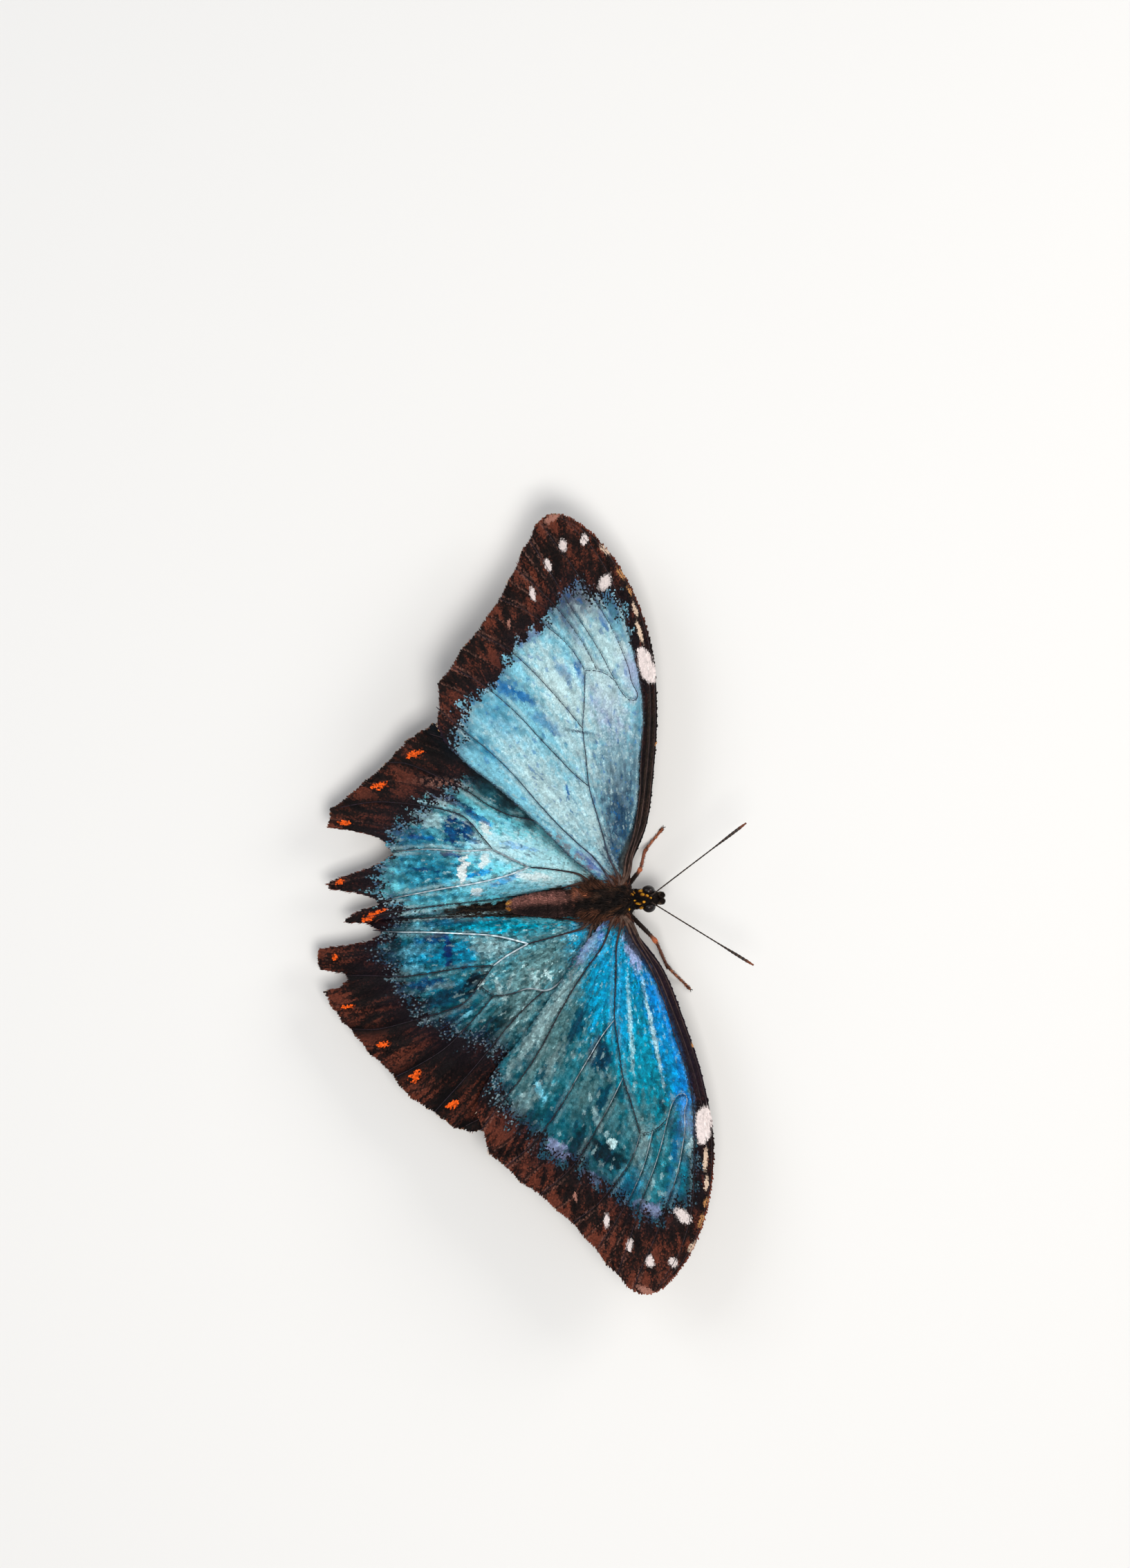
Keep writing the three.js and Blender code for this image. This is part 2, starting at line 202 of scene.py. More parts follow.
# %% One function that makes every piece
def add_piece(name, points, faces, shade, material, gleam=None, patch=None, stands_for=(),
              smooth=True):
    """A mesh piece from body-millimetre points and a list of face arrays, riding on the root body.

    shade holds a colour for each point; patch, where given, holds the two OFBake values of each."""
    groups = faces if isinstance(faces, list) else [faces]
    corners = np.concatenate([g.ravel() for g in groups])
    sizes = np.concatenate([np.full(len(g), g.shape[1]) for g in groups])
    mesh = bpy.data.meshes.new(name)
    mesh.vertices.add(len(points))
    mesh.vertices.foreach_set("co", to_frame(points).astype(np.float32).ravel())
    mesh.loops.add(len(corners))
    mesh.loops.foreach_set("vertex_index", corners.astype(np.int32))
    mesh.polygons.add(len(sizes))
    mesh.polygons.foreach_set("loop_start", (np.cumsum(sizes) - sizes).astype(np.int32))
    mesh.polygons.foreach_set("use_smooth", np.full(len(sizes), smooth))
    mesh.update(calc_edges=True)
    colours = np.ones((len(points), 4), np.float32)
    colours[:, :3] = np.clip(shade, 0, 1)
    mesh.attributes.new("shade", "FLOAT_COLOR", "POINT").data.foreach_set("color", colours.ravel())
    if gleam is not None:
        values = np.broadcast_to(gleam, len(points)).astype(np.float32)
        mesh.attributes.new("gleam", "FLOAT", "POINT").data.foreach_set("value", values)
    if patch is not None:
        spots = patch[corners].astype(np.float32)
        mesh.uv_layers.new(name="OFBake").data.foreach_set("uv", spots.ravel())
    mesh.materials.append(material)
    piece = bpy.data.objects.new(name, mesh)
    bpy.context.scene.collection.objects.link(piece)
    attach(piece, "root")
    if stands_for:
        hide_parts(*stands_for)
    print(f"{name}: {int((sizes - 2).sum())} triangles")
    return piece


def grid_faces(rows, columns, first=0, around=False):
    """Quads of a grid stored row by row; around joins the last column to the first."""
    r = np.arange(rows - 1)[:, None]
    c = np.arange(columns if around else columns - 1)[None, :]
    n = (c + 1) % columns
    quads = np.stack([r * columns + c, r * columns + n, (r + 1) * columns + n, (r + 1) * columns + c],
                     axis=-1)
    return quads.reshape(-1, 4) + first


def end_caps(rows, columns):
    """Fans that close a tube of rows of points on the two points that are stored after them."""
    here = np.arange(columns)
    after, last = (here + 1) % columns, (rows - 1) * columns
    return np.vstack([np.stack([np.full(columns, rows * columns), after, here], 1),
                      np.stack([np.full(columns, rows * columns + 1), last + here, last + after], 1)])


def tube(path, across_radius, up_radius, sides=10, up=(0, 0, 1)):
    """A closed tube along a path: ring points are path + cos * across + sin * up, and each end
    closes in a fan on the path's own end point. Returns points, faces and the station of each."""
    path = np.asarray(path, float)
    along = unit(np.gradient(path, axis=0))
    across = unit(np.cross(np.broadcast_to(up, path.shape), along))
    above = np.cross(along, across)
    angle = np.linspace(0, 2 * np.pi, sides, endpoint=False)[None, :, None]
    wide = np.broadcast_to(across_radius, len(path))[:, None, None]
    tall = np.broadcast_to(up_radius, len(path))[:, None, None]
    rings = (path[:, None] + np.cos(angle) * wide * across[:, None]
             + np.sin(angle) * tall * above[:, None])
    points = np.vstack([rings.reshape(-1, 3), path[0], path[-1]])
    count = len(path)
    station = np.append(np.repeat(np.arange(count), sides), [0, count - 1])
    return points, [grid_faces(count, sides, around=True), end_caps(count, sides)], station


def gather(parts):
    """Several (points, faces, extra) parts as one, with the faces renumbered."""
    points, faces, extras, first = [], [], [], 0
    for part_points, part_faces, extra in parts:
        points.append(part_points)
        faces += [f + first for f in part_faces]
        extras.append(extra)
        first += len(part_points)
    return np.vstack(points), faces, np.concatenate(extras)


# %% [markdown]
# ## Finishes
#
# Every finish starts from the shade that its mesh carries and adds what the eye expects up close.
# Two effects are shared, so each is a node group that is built once. Weathering moves a colour a
# little up and down in soft patches. Grain is fine relief and a matching change of roughness. The
# shader itself, and every value that is the same all over, stays in the material.

# %% Shared effects as node groups
def start_group(name, inputs, outputs):
    """A new shader node group with typed sockets, its inputs and the sockets of its output node."""
    group = bpy.data.node_groups.new(name, "ShaderNodeTree")
    for label, kind, default in inputs:
        socket = group.interface.new_socket(name=label, in_out="INPUT", socket_type=kind)
        socket.default_value = default
    for label, kind in outputs:
        group.interface.new_socket(name=label, in_out="OUTPUT", socket_type=kind)
    return group, group.nodes.new("NodeGroupInput").outputs, group.nodes.new("NodeGroupOutput").inputs


def add_node(tree, kind, inputs, **settings):
    """A new node's outputs. Its inputs are values or the sockets that feed them."""
    node = tree.nodes.new("ShaderNode" + kind)
    for label, value in settings.items():
        setattr(node, label, value)
    for label, value in inputs.items():
        if isinstance(value, bpy.types.NodeSocket):
            tree.links.new(value, node.inputs[label])
        else:
            node.inputs[label].default_value = value
    return node.outputs


def noise_and_range(tree, scale, detail, low, high):
    """Noise, and the same with 0.3 to 0.7, where most of it lies, turned into low to high."""
    place = add_node(tree, "TexCoord", {})["Object"]
    noise = add_node(tree, "TexNoise", {"Vector": place, "Scale": scale, "Detail": detail})["Fac"]
    limits = {"Value": noise, "From Min": 0.3, "From Max": 0.7, "To Min": low, "To Max": high}
    return noise, add_node(tree, "MapRange", limits)["Result"]


def weathering_group():
    """Colour times (1 - amount to 1 + amount), in patches of the given size per metre."""
    group, entry, leave = start_group(
        "weathering",
        [("Colour", "NodeSocketColor", (1, 1, 1, 1)), ("Patches per metre", "NodeSocketFloat", 400.0),
         ("Amount", "NodeSocketFloat", 0.2)],
        [("Colour", "NodeSocketColor"), ("Mask", "NodeSocketFloat")],
    )
    less, more = (add_node(group, "Math", {0: 1.0, 1: entry["Amount"]}, operation=sign)[0]
                  for sign in ("SUBTRACT", "ADD"))
    mask, level = noise_and_range(group, entry["Patches per metre"], 3.0, less, more)
    colour = add_node(group, "VectorMath", {0: entry["Colour"], "Scale": level}, operation="SCALE")
    group.links.new(colour["Vector"], leave["Colour"])
    group.links.new(mask, leave["Mask"])
    return group


def grain_group():
    """Fine noise as a height from 0 to 1 and as a roughness between two values."""
    group, entry, leave = start_group(
        "grain",
        [("Grains per metre", "NodeSocketFloat", 6000.0), ("Smoothest", "NodeSocketFloat", 0.4),
         ("Roughest", "NodeSocketFloat", 0.7)],
        [("Height", "NodeSocketFloat"), ("Roughness", "NodeSocketFloat")],
    )
    height, rough = noise_and_range(group, entry["Grains per metre"], 2.0, entry["Smoothest"],
                                    entry["Roughest"])
    group.links.new(height, leave["Height"])
    group.links.new(rough, leave["Roughness"])
    return group


GROUPS = {"weathering": weathering_group(), "grain": grain_group()}
print("node groups:", ", ".join(GROUPS))


# %% A finish from its numbers
def finish(name, smooth, rough, grains, relief, patches=350.0, amount=0.15, metal=0.0, facets=0.0,
           **fixed):
    """A material that reads shade, weathers it and gives it grain.

    metal makes the gleam attribute drive Metallic up to that value; facets adds round cells of that
    many per metre, as on an insect's eye; fixed are values set on the shader's own sockets."""
    material = bpy.data.materials.new(name)
    material.use_nodes = True
    tree = material.node_tree
    shader = tree.nodes["Principled BSDF"].inputs
    colour = add_node(tree, "Attribute", {}, attribute_name="shade")["Color"]
    weather = add_node(tree, "Group", {"Patches per metre": patches, "Amount": amount, "Colour": colour},
                       node_tree=GROUPS["weathering"])
    tree.links.new(weather["Colour"], shader["Base Color"])
    grain = add_node(tree, "Group", {"Grains per metre": grains, "Smoothest": smooth, "Roughest": rough},
                     node_tree=GROUPS["grain"])
    tree.links.new(grain["Roughness"], shader["Roughness"])
    height = grain["Height"]
    if facets:
        place = add_node(tree, "TexCoord", {})["Object"]
        cells = add_node(tree, "TexVoronoi", {"Scale": facets, "Randomness": 0.25, "Vector": place})
        height = add_node(tree, "Math", {0: 1.0, 1: cells["Distance"]}, operation="SUBTRACT")[0]
    bump = add_node(tree, "Bump", {"Strength": 0.6, "Distance": relief * MM, "Height": height})
    tree.links.new(bump["Normal"], shader["Normal"])
    if metal:
        gleam = add_node(tree, "Attribute", {}, attribute_name="gleam")["Fac"]
        share = add_node(tree, "Math", {0: gleam, 1: metal}, operation="MULTIPLY")[0]
        tree.links.new(share, shader["Metallic"])
    for label, value in fixed.items():
        shader[label.replace("_", " ")].default_value = value
    return material


SCALES = finish("scales", 0.42, 0.6, 9000.0, 0.02, amount=0.05, metal=0.1, Specular_IOR_Level=0.05)
UNDER_SCALES = finish("scales_beneath", 0.55, 0.85, 9000.0, 0.03, amount=0.12, Specular_IOR_Level=0.15)
WING_SKIN = finish("wing_membrane", 0.5, 0.75, 5000.0, 0.04, amount=0.1, metal=0.2,
                   Specular_IOR_Level=0.08)
VEIN = finish("vein", 0.4, 0.65, 7000.0, 0.03, amount=0.2, Specular_IOR_Level=0.2)
BODY_SKIN = finish("body_skin", 0.6, 0.9, 3500.0, 0.12, amount=0.2, Specular_IOR_Level=0.1)
HAIR = finish("hair", 0.6, 0.85, 4000.0, 0.02, patches=900.0, amount=0.25, Specular_IOR_Level=0.15)
EYE_LENS = finish("eye", 0.2, 0.35, 1500.0, 0.02, amount=0.2, facets=13000.0, Specular_IOR_Level=0.2,
                  Coat_Weight=0.1, Coat_Roughness=0.1)
HORN = finish("horn", 0.35, 0.6, 5000.0, 0.05, amount=0.2, Specular_IOR_Level=0.25)
print("finishes ready")

# %% [markdown]
# ## The forewing's plan
#
# A morpho's wing is a stiff fan. Long veins run from the shoulder to the outer margin, and the
# membrane sags a little between them, so the margin is nicked where each fold ends. Both forewings
# are one shape, drawn in its own axes: c towards the front edge, s outwards along the span. Only
# the sweep differs, because the animal has swung its left wing a little further back.

# %% Forewing outline, veins and folds
FORE_COSTA = [[3.4, 0.6], [9.2, 5], [15.1, 12.4], [20.3, 20], [24.5, 28.2], [26.6, 35.8], [27.1, 43.5],
              [26, 50], [23.4, 55.2], [20.8, 56.6], [18.1, 56.1]]
FORE_NICKS = [[18.1, 56.1], [13.9, 53.6], [9.3, 50.4], [3.4, 47.2], [-3.3, 44.6], [-9.6, 41.7],
              [-13.4, 35.8]]
FORE_INNER = [[-13.4, 35.8], [-13.6, 33], [-12.2, 28], [-9.5, 21.6], [-6.8, 13.5], [-4.9, 6.5],
              [-2.4, 0.6]]
FORE_BULGE = 0.35                            # how far the margin swells at a vein
FORE_VEINS = {
    "cubitus": [[0.4, -0.6], [0.8, 3.6], [1.7, 6.8], [2.5, 9.9], [3.9, 15.1], [6, 19.6], [7.9, 23.8],
                [10.1, 27], [12.2, 30.2], [13.2, 31.8]],
    "third median": [[13.2, 31.8], [13.1, 35.2], [12.5, 38], [11.2, 41.4], [9.6, 45], [6.5, 49]],
    "first cubital": [[7.9, 23.8], [7.2, 28], [6.3, 32.2], [5.2, 36.6], [3.6, 41], [0.2, 46.1]],
    "second cubital": [[3.9, 15.1], [2.7, 18.2], [1.8, 21.7], [0.7, 26], [-0.2, 30], [-1.6, 34.4],
                       [-3.6, 39], [-6.4, 43.3]],
    "anal": [[-0.9, -0.6], [-1.4, 4.3], [-2.6, 7.8], [-3.8, 11.6], [-5, 16.6], [-6.3, 23], [-8, 28.6],
             [-10.2, 34], [-11.9, 38.8]],
    "cell end": [[13.2, 31.8], [14.8, 30.9], [16, 29.6], [16.8, 27.8]],
    "second median": [[15, 30.7], [15.2, 36], [14.6, 41.6], [13.3, 47], [11.7, 51.8]],
    "first median": [[16.1, 54.8], [16.4, 49], [16.5, 41.6], [16.9, 37], [17, 33], [16.8, 28.6],
                     [16.8, 25.6], [17.3, 24], [18.3, 23.5], [19, 24.4], [19.1, 26.2], [19.9, 28.8],
                     [20.4, 32], [20.8, 36.4], [20.6, 42], [20.2, 48], [19.6, 52.4], [19.3, 56.2]],
    "radius": [[1.2, -0.6], [3.2, 1.8], [6.3, 4.5], [10.8, 9.9], [13.8, 14.5], [17, 19], [19.3, 23],
               [20.7, 26.6], [21.8, 30], [23, 34], [24.2, 38.5], [24.9, 43], [24.7, 49], [23.2, 54.2]],
    "subcosta": [[1.8, -0.6], [4.2, 1.9], [8.3, 5.7], [12.4, 10.8], [16, 15.6], [19.5, 20.9],
                 [22.4, 26.2], [24.6, 31.6]],
    "costa": [[2.3, -0.6], [4.6, 1.9], [9.1, 5.3], [14.8, 12.5], [20, 20.1], [24.2, 28.3], [26.3, 35.8],
              [26.8, 43.4], [25.7, 49.9], [23, 55]],
}
FORE_FOLDS = [
    [[13.9, 53.6], [14.9, 46], [15.9, 37], [15.9, 31.8]],
    [[9.3, 50.4], [12, 44.8], [14, 38], [14.2, 33]],
    [[3.4, 47.2], [7.2, 41.6], [9.4, 36], [10.6, 30]],
    [[-3.3, 44.6], [1.2, 37.4], [3.6, 31], [4.9, 24], [4.9, 19]],
    [[-9.6, 41.7], [-5.4, 36], [-3.4, 28], [-1.8, 18], [-0.4, 6]],
    [[5.2, 4], [9.4, 12], [13, 20], [15, 26]],
]


def lobed(nicks, bulge, steps=14):
    """A margin that swells by bulge * sin(pi t) between each nick and the next."""
    a, b = np.array(nicks[:-1], float), np.array(nicks[1:], float)
    span = b - a
    outwards = unit(np.stack([span[:, 1], -span[:, 0]], axis=1)) * -1
    t = np.linspace(0, 1, steps, endpoint=False)[None, :, None]
    lobes = a[:, None] + span[:, None] * t + outwards[:, None] * bulge * np.sin(np.pi * t)
    return np.vstack([lobes.reshape(-1, 2), b[-1]])


print("forewing veins:", len(FORE_VEINS), "folds:", len(FORE_FOLDS))

# %% [markdown]
# ## The hindwings' plan
#
# The hindwings are worn: birds and thorns have torn bays out of their margins, and no two tears are
# alike, so each side has its own outline. Their axes are simply x forwards and y outwards from the
# body's middle.

# %% Hindwing outlines, veins and folds
HIND_FRONT = {
    "left": [[-2.9, 4], [-3.8, 8], [-6.6, 13.5], [-11.5, 20], [-17, 25.2], [-22.5, 29], [-26.3, 30.4],
             [-28.1, 30.3]],
    "right": [[-2.9, 4], [-3.4, 8.5], [-5.2, 15], [-9, 23], [-13.5, 29.5], [-18.5, 34], [-23, 36],
              [-25.4, 36.4]],
}
HIND_NICKS = {
    "left": [[-28.1, 30.3], [-30.2, 29.2], [-32.5, 28], [-34.1, 26.3], [-37, 23.6], [-39.8, 21.6],
             [-42.6, 19.4], [-45.6, 17.4], [-46.4, 14.4]],
    "right": [[-25.4, 36.4], [-28.2, 35.5], [-30.3, 33.8], [-32.6, 32], [-35, 30.4], [-36.6, 28.4],
              [-38.3, 25.7], [-41.4, 22.9], [-43.4, 19.9], [-45.6, 17.4], [-47.4, 14.6], [-48.3, 12.4]],
}
HIND_TATTERS = {
    "left": [[-46.4, 14.4], [-43, 13.9], [-39.8, 13], [-37.4, 12], [-35.7, 9.6], [-38, 8.1], [-41, 7],
             [-43.9, 6.3], [-47.2, 5.1], [-46.4, 4.3], [-42.6, 3.6], [-39, 2.4], [-38.4, 1.3],
             [-41.4, 0.6], [-43.4, -0.4], [-44.5, -1.3], [-41.6, -1.4], [-38.2, -1]],
    "right": [[-48.3, 12.4], [-46, 12.1], [-44.2, 10.8], [-44.7, 9.6], [-48.6, 8.8], [-49, 8],
              [-48.8, 5.5], [-44.6, 5.2], [-40.2, 4.6], [-38.3, 3.4], [-39.7, 2.2], [-41.3, 1.5],
              [-38.2, 0.9]],
}
HIND_INNER = {
    "left": [[-38.2, -1], [-33, -0.8], [-26, -0.8], [-20, -0.7], [-16.5, -0.3], [-13, 0.7], [-9, 1.9],
             [-6.8, 2.5]],
    "right": [[-38.2, 0.9], [-33, 0.7], [-26, 0.6], [-20, 0.9], [-16, 1.1], [-12, 1.3], [-9, 1.9],
              [-6.8, 2.5]],
}
HIND_VEINS = {
    "left": {
        "stem": [[-5.2, 4.3], [-9.3, 5.5], [-13.8, 6.2]],
        "second cubital": [[-13.8, 6.2], [-17.6, 5], [-22.2, 4.1], [-27.4, 3.5], [-32, 2.9], [-36, 2.3],
                           [-38.6, 1.6]],
        "cubitus": [[-13.8, 6.2], [-16.8, 7.8], [-19.6, 9.4]],
        "first cubital": [[-19.6, 9.4], [-24.5, 9.4], [-30.1, 10], [-35.6, 9.9]],
        "third median": [[-19.6, 9.4], [-21.4, 11.8], [-23.9, 14.9], [-27.5, 16.4], [-33, 17.6],
                         [-38.6, 18.2], [-44.4, 17.6]],
        "first median": [[-6.4, 9.4], [-9.4, 11.6], [-12.5, 13.7], [-16.4, 14.8], [-20.1, 16.8],
                         [-23.3, 19.2], [-27.6, 21.6], [-33, 24.2], [-36.2, 24.6]],
        "radius": [[-3.4, 5.6], [-6.4, 10.4], [-11, 16.6], [-17, 22.4], [-23.6, 26.8], [-29, 28.9]],
        "anal": [[-4.6, 3], [-9, 2.5], [-15, 1.7], [-22, 1.1], [-30, 0.6], [-36, 0], [-41, -0.6]],
    },
    "right": {
        "stem": [[-5.2, 4], [-8.6, 5], [-14.6, 6.3]],
        "second cubital": [[-14.6, 6.3], [-19.8, 4.8], [-25.7, 4.1], [-31.4, 3.6], [-36.4, 3.3],
                           [-40, 2.8]],
        "cubitus": [[-14.6, 6.3], [-18.2, 8.1], [-20.5, 9.6]],
        "first cubital": [[-20.5, 9.6], [-24.6, 9.6], [-30, 10.2], [-35, 10.6], [-41, 10.2],
                          [-44.6, 10]],
        "third median": [[-20.5, 9.6], [-23, 12.7], [-25.4, 15.3], [-28.5, 16.5], [-34.6, 18],
                         [-40, 19], [-44.2, 18.8]],
        "second median": [[-20.6, 14.4], [-24.6, 18.6], [-29, 22.6], [-34, 25.4], [-37.6, 27]],
        "first median": [[-12.4, 14.1], [-15.3, 16.4], [-18.6, 19.6], [-21.3, 22.6], [-25.4, 27],
                         [-31.4, 33]],
        "cell end": [[-23, 12.7], [-20.6, 14.4], [-17.7, 14.3], [-14.9, 13.6], [-12.1, 14.1],
                     [-10.3, 13.3], [-7.3, 10], [-5, 6.6], [-3.9, 3.6]],
        "radius": [[-3.2, 6.6], [-5.4, 12.6], [-9.4, 20], [-14, 26.6], [-20, 32.4], [-26.6, 35.6]],
        "anal": [[-4.6, 3], [-9, 2.5], [-15, 1.7], [-22, 1.5], [-30, 1.3], [-37, 1.3]],
    },
}
HIND_FOLDS = {
    "left": [
        [[-22, 7], [-28, 6.8], [-34, 6.4], [-40, 5.8], [-46, 4.8]],
        [[-23.4, 11.6], [-29, 12.8], [-35, 13.8], [-41, 14.8], [-45.6, 15.4]],
        [[-22, 15.4], [-28, 18.6], [-34, 21], [-40.6, 20.8]],
        [[-14, 17.6], [-20, 21.4], [-26, 25], [-32.2, 27.8]],
    ],
    "right": [
        [[-22.6, 7.2], [-28, 7], [-34, 6.8], [-41, 6.8], [-48, 7]],
        [[-25, 11.8], [-31, 13], [-37, 14.4], [-44, 15], [-47, 14.4]],
        [[-25.6, 17.4], [-30.6, 20], [-36, 22], [-42.2, 21.6]],
        [[-20.6, 17.8], [-26, 23.6], [-31, 28], [-35.6, 29.6]],
        [[-9.6, 14.6], [-14, 20.6], [-19.6, 27], [-25, 32], [-28.4, 35.2]],
    ],
}


def pulled_in(points, outline, inset=0.02):
    """Points outside a closed outline moved to the nearest place on it, and a hair further in."""
    points = points.copy()
    out = np.flatnonzero(depth_inside(points, outline) < -1e-6)
    p = points[out]
    nearest, least = p.copy(), np.full(len(p), 1e9)
    for start, end in zip(outline, np.roll(outline, -1, axis=0)):
        span = end - start
        t = np.clip(((p - start) @ span) / (span @ span + 1e-12), 0, 1)
        foot = start + t[:, None] * span
        gap = np.linalg.norm(p - foot, axis=1)
        nearest = np.where((gap < least)[:, None], foot, nearest)
        least = np.minimum(gap, least)
    points[out] = nearest + unit(nearest - p) * inset
    return points


def torn(points, pitch, depth, seed):
    """A torn edge: the straight line through the points, cut finely and shifted by small mottle."""
    line = even_line(points, pitch)
    shift = np.stack([mottle(line, 0.5, seed + k) for k in range(2)], axis=1) * depth
    shift[[0, -1]] = 0
    return line + shift


print("hindwing veins:", [len(v) for v in HIND_VEINS.values()])

# %% [markdown]
# ## A wing as one object
#
# Everything that follows asks a wing the same few questions: where is this flat point in space,
# which way do the scales lie there, how near is the next vein? So a small class answers them for
# both kinds of wing. Height has two parts: the slow curve of the whole wing, which repeats the
# solid model's, and a fine relief of ridges along the veins and creases along the folds.

# %% The wing class
WING_HALF = 0.11                             # half the membrane's thickness
RIDGE = 0.12                                 # height of the swelling that carries a vein
CREASE = 0.14                                # depth of a fold


class Wing:
    """A wing in its own flat axes, with the height and side that put it in space."""

    def __init__(self, name, kind):
        self.name, self.kind, self.hand, self.side = f"{kind}_{name}", kind, name, SIDES[name]
        self.left, self.fore = name == "left", kind == "forewing"
        if self.fore:
            costa = smooth_line(FORE_COSTA, 14)
            margin = lobed(FORE_NICKS, FORE_BULGE)
            inner = smooth_line(FORE_INNER, 12)
            veins, folds = FORE_VEINS, FORE_FOLDS
            self.hinge = np.array([0.6, -3.0])
            self.sweep = math.radians(27.0 if self.left else 19.5)
            self.chord = 0.955 if self.left else 1.0
            self.nicks = np.array(FORE_NICKS)
            self.root = self.from_plan(np.array([[2.4, 1.7], [-1.5, 1.7]]))
        else:
            costa = smooth_line(HIND_FRONT[name], 9)
            margin = np.vstack([lobed(HIND_NICKS[name], 0.22, 8)[:-1],
                                torn(HIND_TATTERS[name], 0.35, 0.07, 5)[:-1]])
            inner = smooth_line(HIND_INNER[name], 10)
            veins, folds = HIND_VEINS[name], HIND_FOLDS[name]
            self.hinge = np.array([-1.0, 2.6])
            self.nicks = np.array(HIND_NICKS[name])
            self.root = np.array([[-2.4, 1.7], [-4.9, 1.7]])
        self.rim = np.vstack([costa[:-1], margin, inner[1:]])
        self.outline = np.vstack([self.rim, self.root[::-1]])
        self.costa, self.margin = costa, margin
        heart = self.root.mean(0)
        self.veins = {}
        for label, line in veins.items():
            if np.linalg.norm(line[0] - heart) < 5:
                line = [0.8 * heart + 0.2 * np.array(line[0]), *line]
            self.veins[label] = smooth_line(line, 5)
        self.folds = [smooth_line(line, 4) for line in folds]

    def to_plan(self, own):
        """Own axes to body x and outward y: a turn and a shift for a forewing."""
        if not self.fore:
            return own
        c, s = own[..., 0] * self.chord, own[..., 1]
        cos, sin = math.cos(self.sweep), math.sin(self.sweep)
        return np.stack([0.2 + c * cos - s * sin, 3.75 + c * sin + s * cos], axis=-1)

    def from_plan(self, plan):
        """The reverse of to_plan."""
        cos, sin = math.cos(self.sweep), math.sin(self.sweep)
        x, y = plan[..., 0] - 0.2, plan[..., 1] - 3.75
        return np.stack([(x * cos + y * sin) / self.chord, y * cos - x * sin], axis=-1)

    def lie(self, own):
        """Height of the wing's middle, from the same slopes and curves as the solid wing."""
        x, y = np.moveaxis(self.to_plan(own), -1, 0)
        if self.fore:
            c, s = own[..., 0] * self.chord, own[..., 1]
            rise, pitch = (0.125, -0.07) if self.left else (0.105, 0.0)
            camber = 0.0032 * (c - 6) ** 2 * step(s, 0, 20)
            return 9.2 + rise * s + pitch * c - camber - 2.2 * (np.maximum(s, 0) / 57) ** 3
        under_body = step(-x, 4, 8) - 0.8 * step(-x, 17, 28)
        channel = 3.0 * bell(y, 2.6) * under_body
        behind = step(-x, 18, 34) * bell(y, 5)
        lap = 0.75 if self.left else -0.75
        return 7.6 + 0.085 * (y - 3) + 0.055 * (x + 4) - channel + lap * behind

    def relief(self, own):
        """Ridges along veins less creases along folds, each a bell curve of the distance."""
        flat = own.reshape(-1, 2)
        ridge = RIDGE * bell(distance(flat, self.veins.values()), 0.55)
        crease = CREASE * bell(distance(flat, self.folds), 0.8)
        ripple = 0.035 * mottle(flat, 2.2, 17)
        return (ridge - crease + ripple).reshape(own.shape[:-1])

    def place(self, own, relief=0.0, above=0.0):
        """Own points in body millimetres, on this wing's side."""
        x, y = np.moveaxis(self.to_plan(own), -1, 0)
        return np.stack([x, y * self.side, self.lie(own) + relief + above], axis=-1)

    def spots(self, own):
        """Places on the OFBake map: own axes scaled to fit it, with a narrow border."""
        low, high = self.rim.min(0), self.rim.max(0)
        return 0.02 + 0.96 * (own - low) / (high - low).max()

    def flow(self, own):
        """Unit direction in which the scales point: away from the hinge."""
        return unit(own - self.hinge)

    def axes(self, own, beneath=False):
        """Along, across and up at each point: the first follows the flow over the surface."""
        eps = 0.15
        here = self.place(own, self.relief(own))
        lead = self.flow(own)
        other = np.stack([-lead[:, 1], lead[:, 0]], axis=1)
        ahead = self.place(own + eps * lead, self.relief(own + eps * lead)) - here
        beside = self.place(own + eps * other, self.relief(own + eps * other)) - here
        up = unit(np.cross(ahead, beside))
        up *= np.sign(up[:, 2:3]) * (-1 if beneath else 1)
        along = unit(ahead)
        return here, np.stack([along, np.cross(up, along), up], axis=1)


WINGS = [Wing(name, kind) for kind in ("forewing", "hindwing") for name in SIDES]
for wing in WINGS:
    print(wing.name, len(wing.rim), "rim points,", len(wing.veins), "veins")

# %% [markdown]
# ## Markings of the upper side
#
# The blue isn't a dye. Ridges on each scale throw back blue light, so the colour goes from pale
# silver-blue where the wing faces the lamp to deep azure and teal where it turns away, with duller
# grey-teal patches between. The model paints this light into the colours: the silver and the white
# flakes of the raised left wings are painted sheen and painted glints, and the right wings are painted
# in the deeper blues that a turned-away wing shows. It works in layers, as a painter would: a ground
# colour for the blue field, soft clouds of other blues, small flecks, then the dark margin with its
# white and orange spots. Where blue meets brown, single scales of both colours mix.

# %% Colours and the layout of the markings
# The blues, the greys and the haze of the upper side. The silver and the foam-white stand for light:
# painted sheen and painted glints where the scales throw the lamp back.
SILVER_SHEEN, SKY, CYAN = paint(206, 234, 236), paint(136, 204, 224), paint(2, 146, 188)
AZURE, ROYAL, DEEP, INK = paint(6, 98, 168), paint(18, 136, 204), paint(3, 54, 98), paint(5, 18, 26)
LILAC, HAZE, SLATE = paint(96, 112, 176), paint(172, 182, 218), paint(126, 156, 170)
DUSK, TURQUOISE, LAGOON = paint(50, 74, 98), paint(118, 196, 208), paint(10, 142, 168)
TEAL, SEA, GREY, ASH = paint(58, 112, 124), paint(2, 54, 70), paint(84, 112, 114), paint(138, 162, 164)
STEEL, FOAM_GLINT, SMOKE = paint(34, 112, 142), paint(238, 248, 248), paint(92, 84, 98)
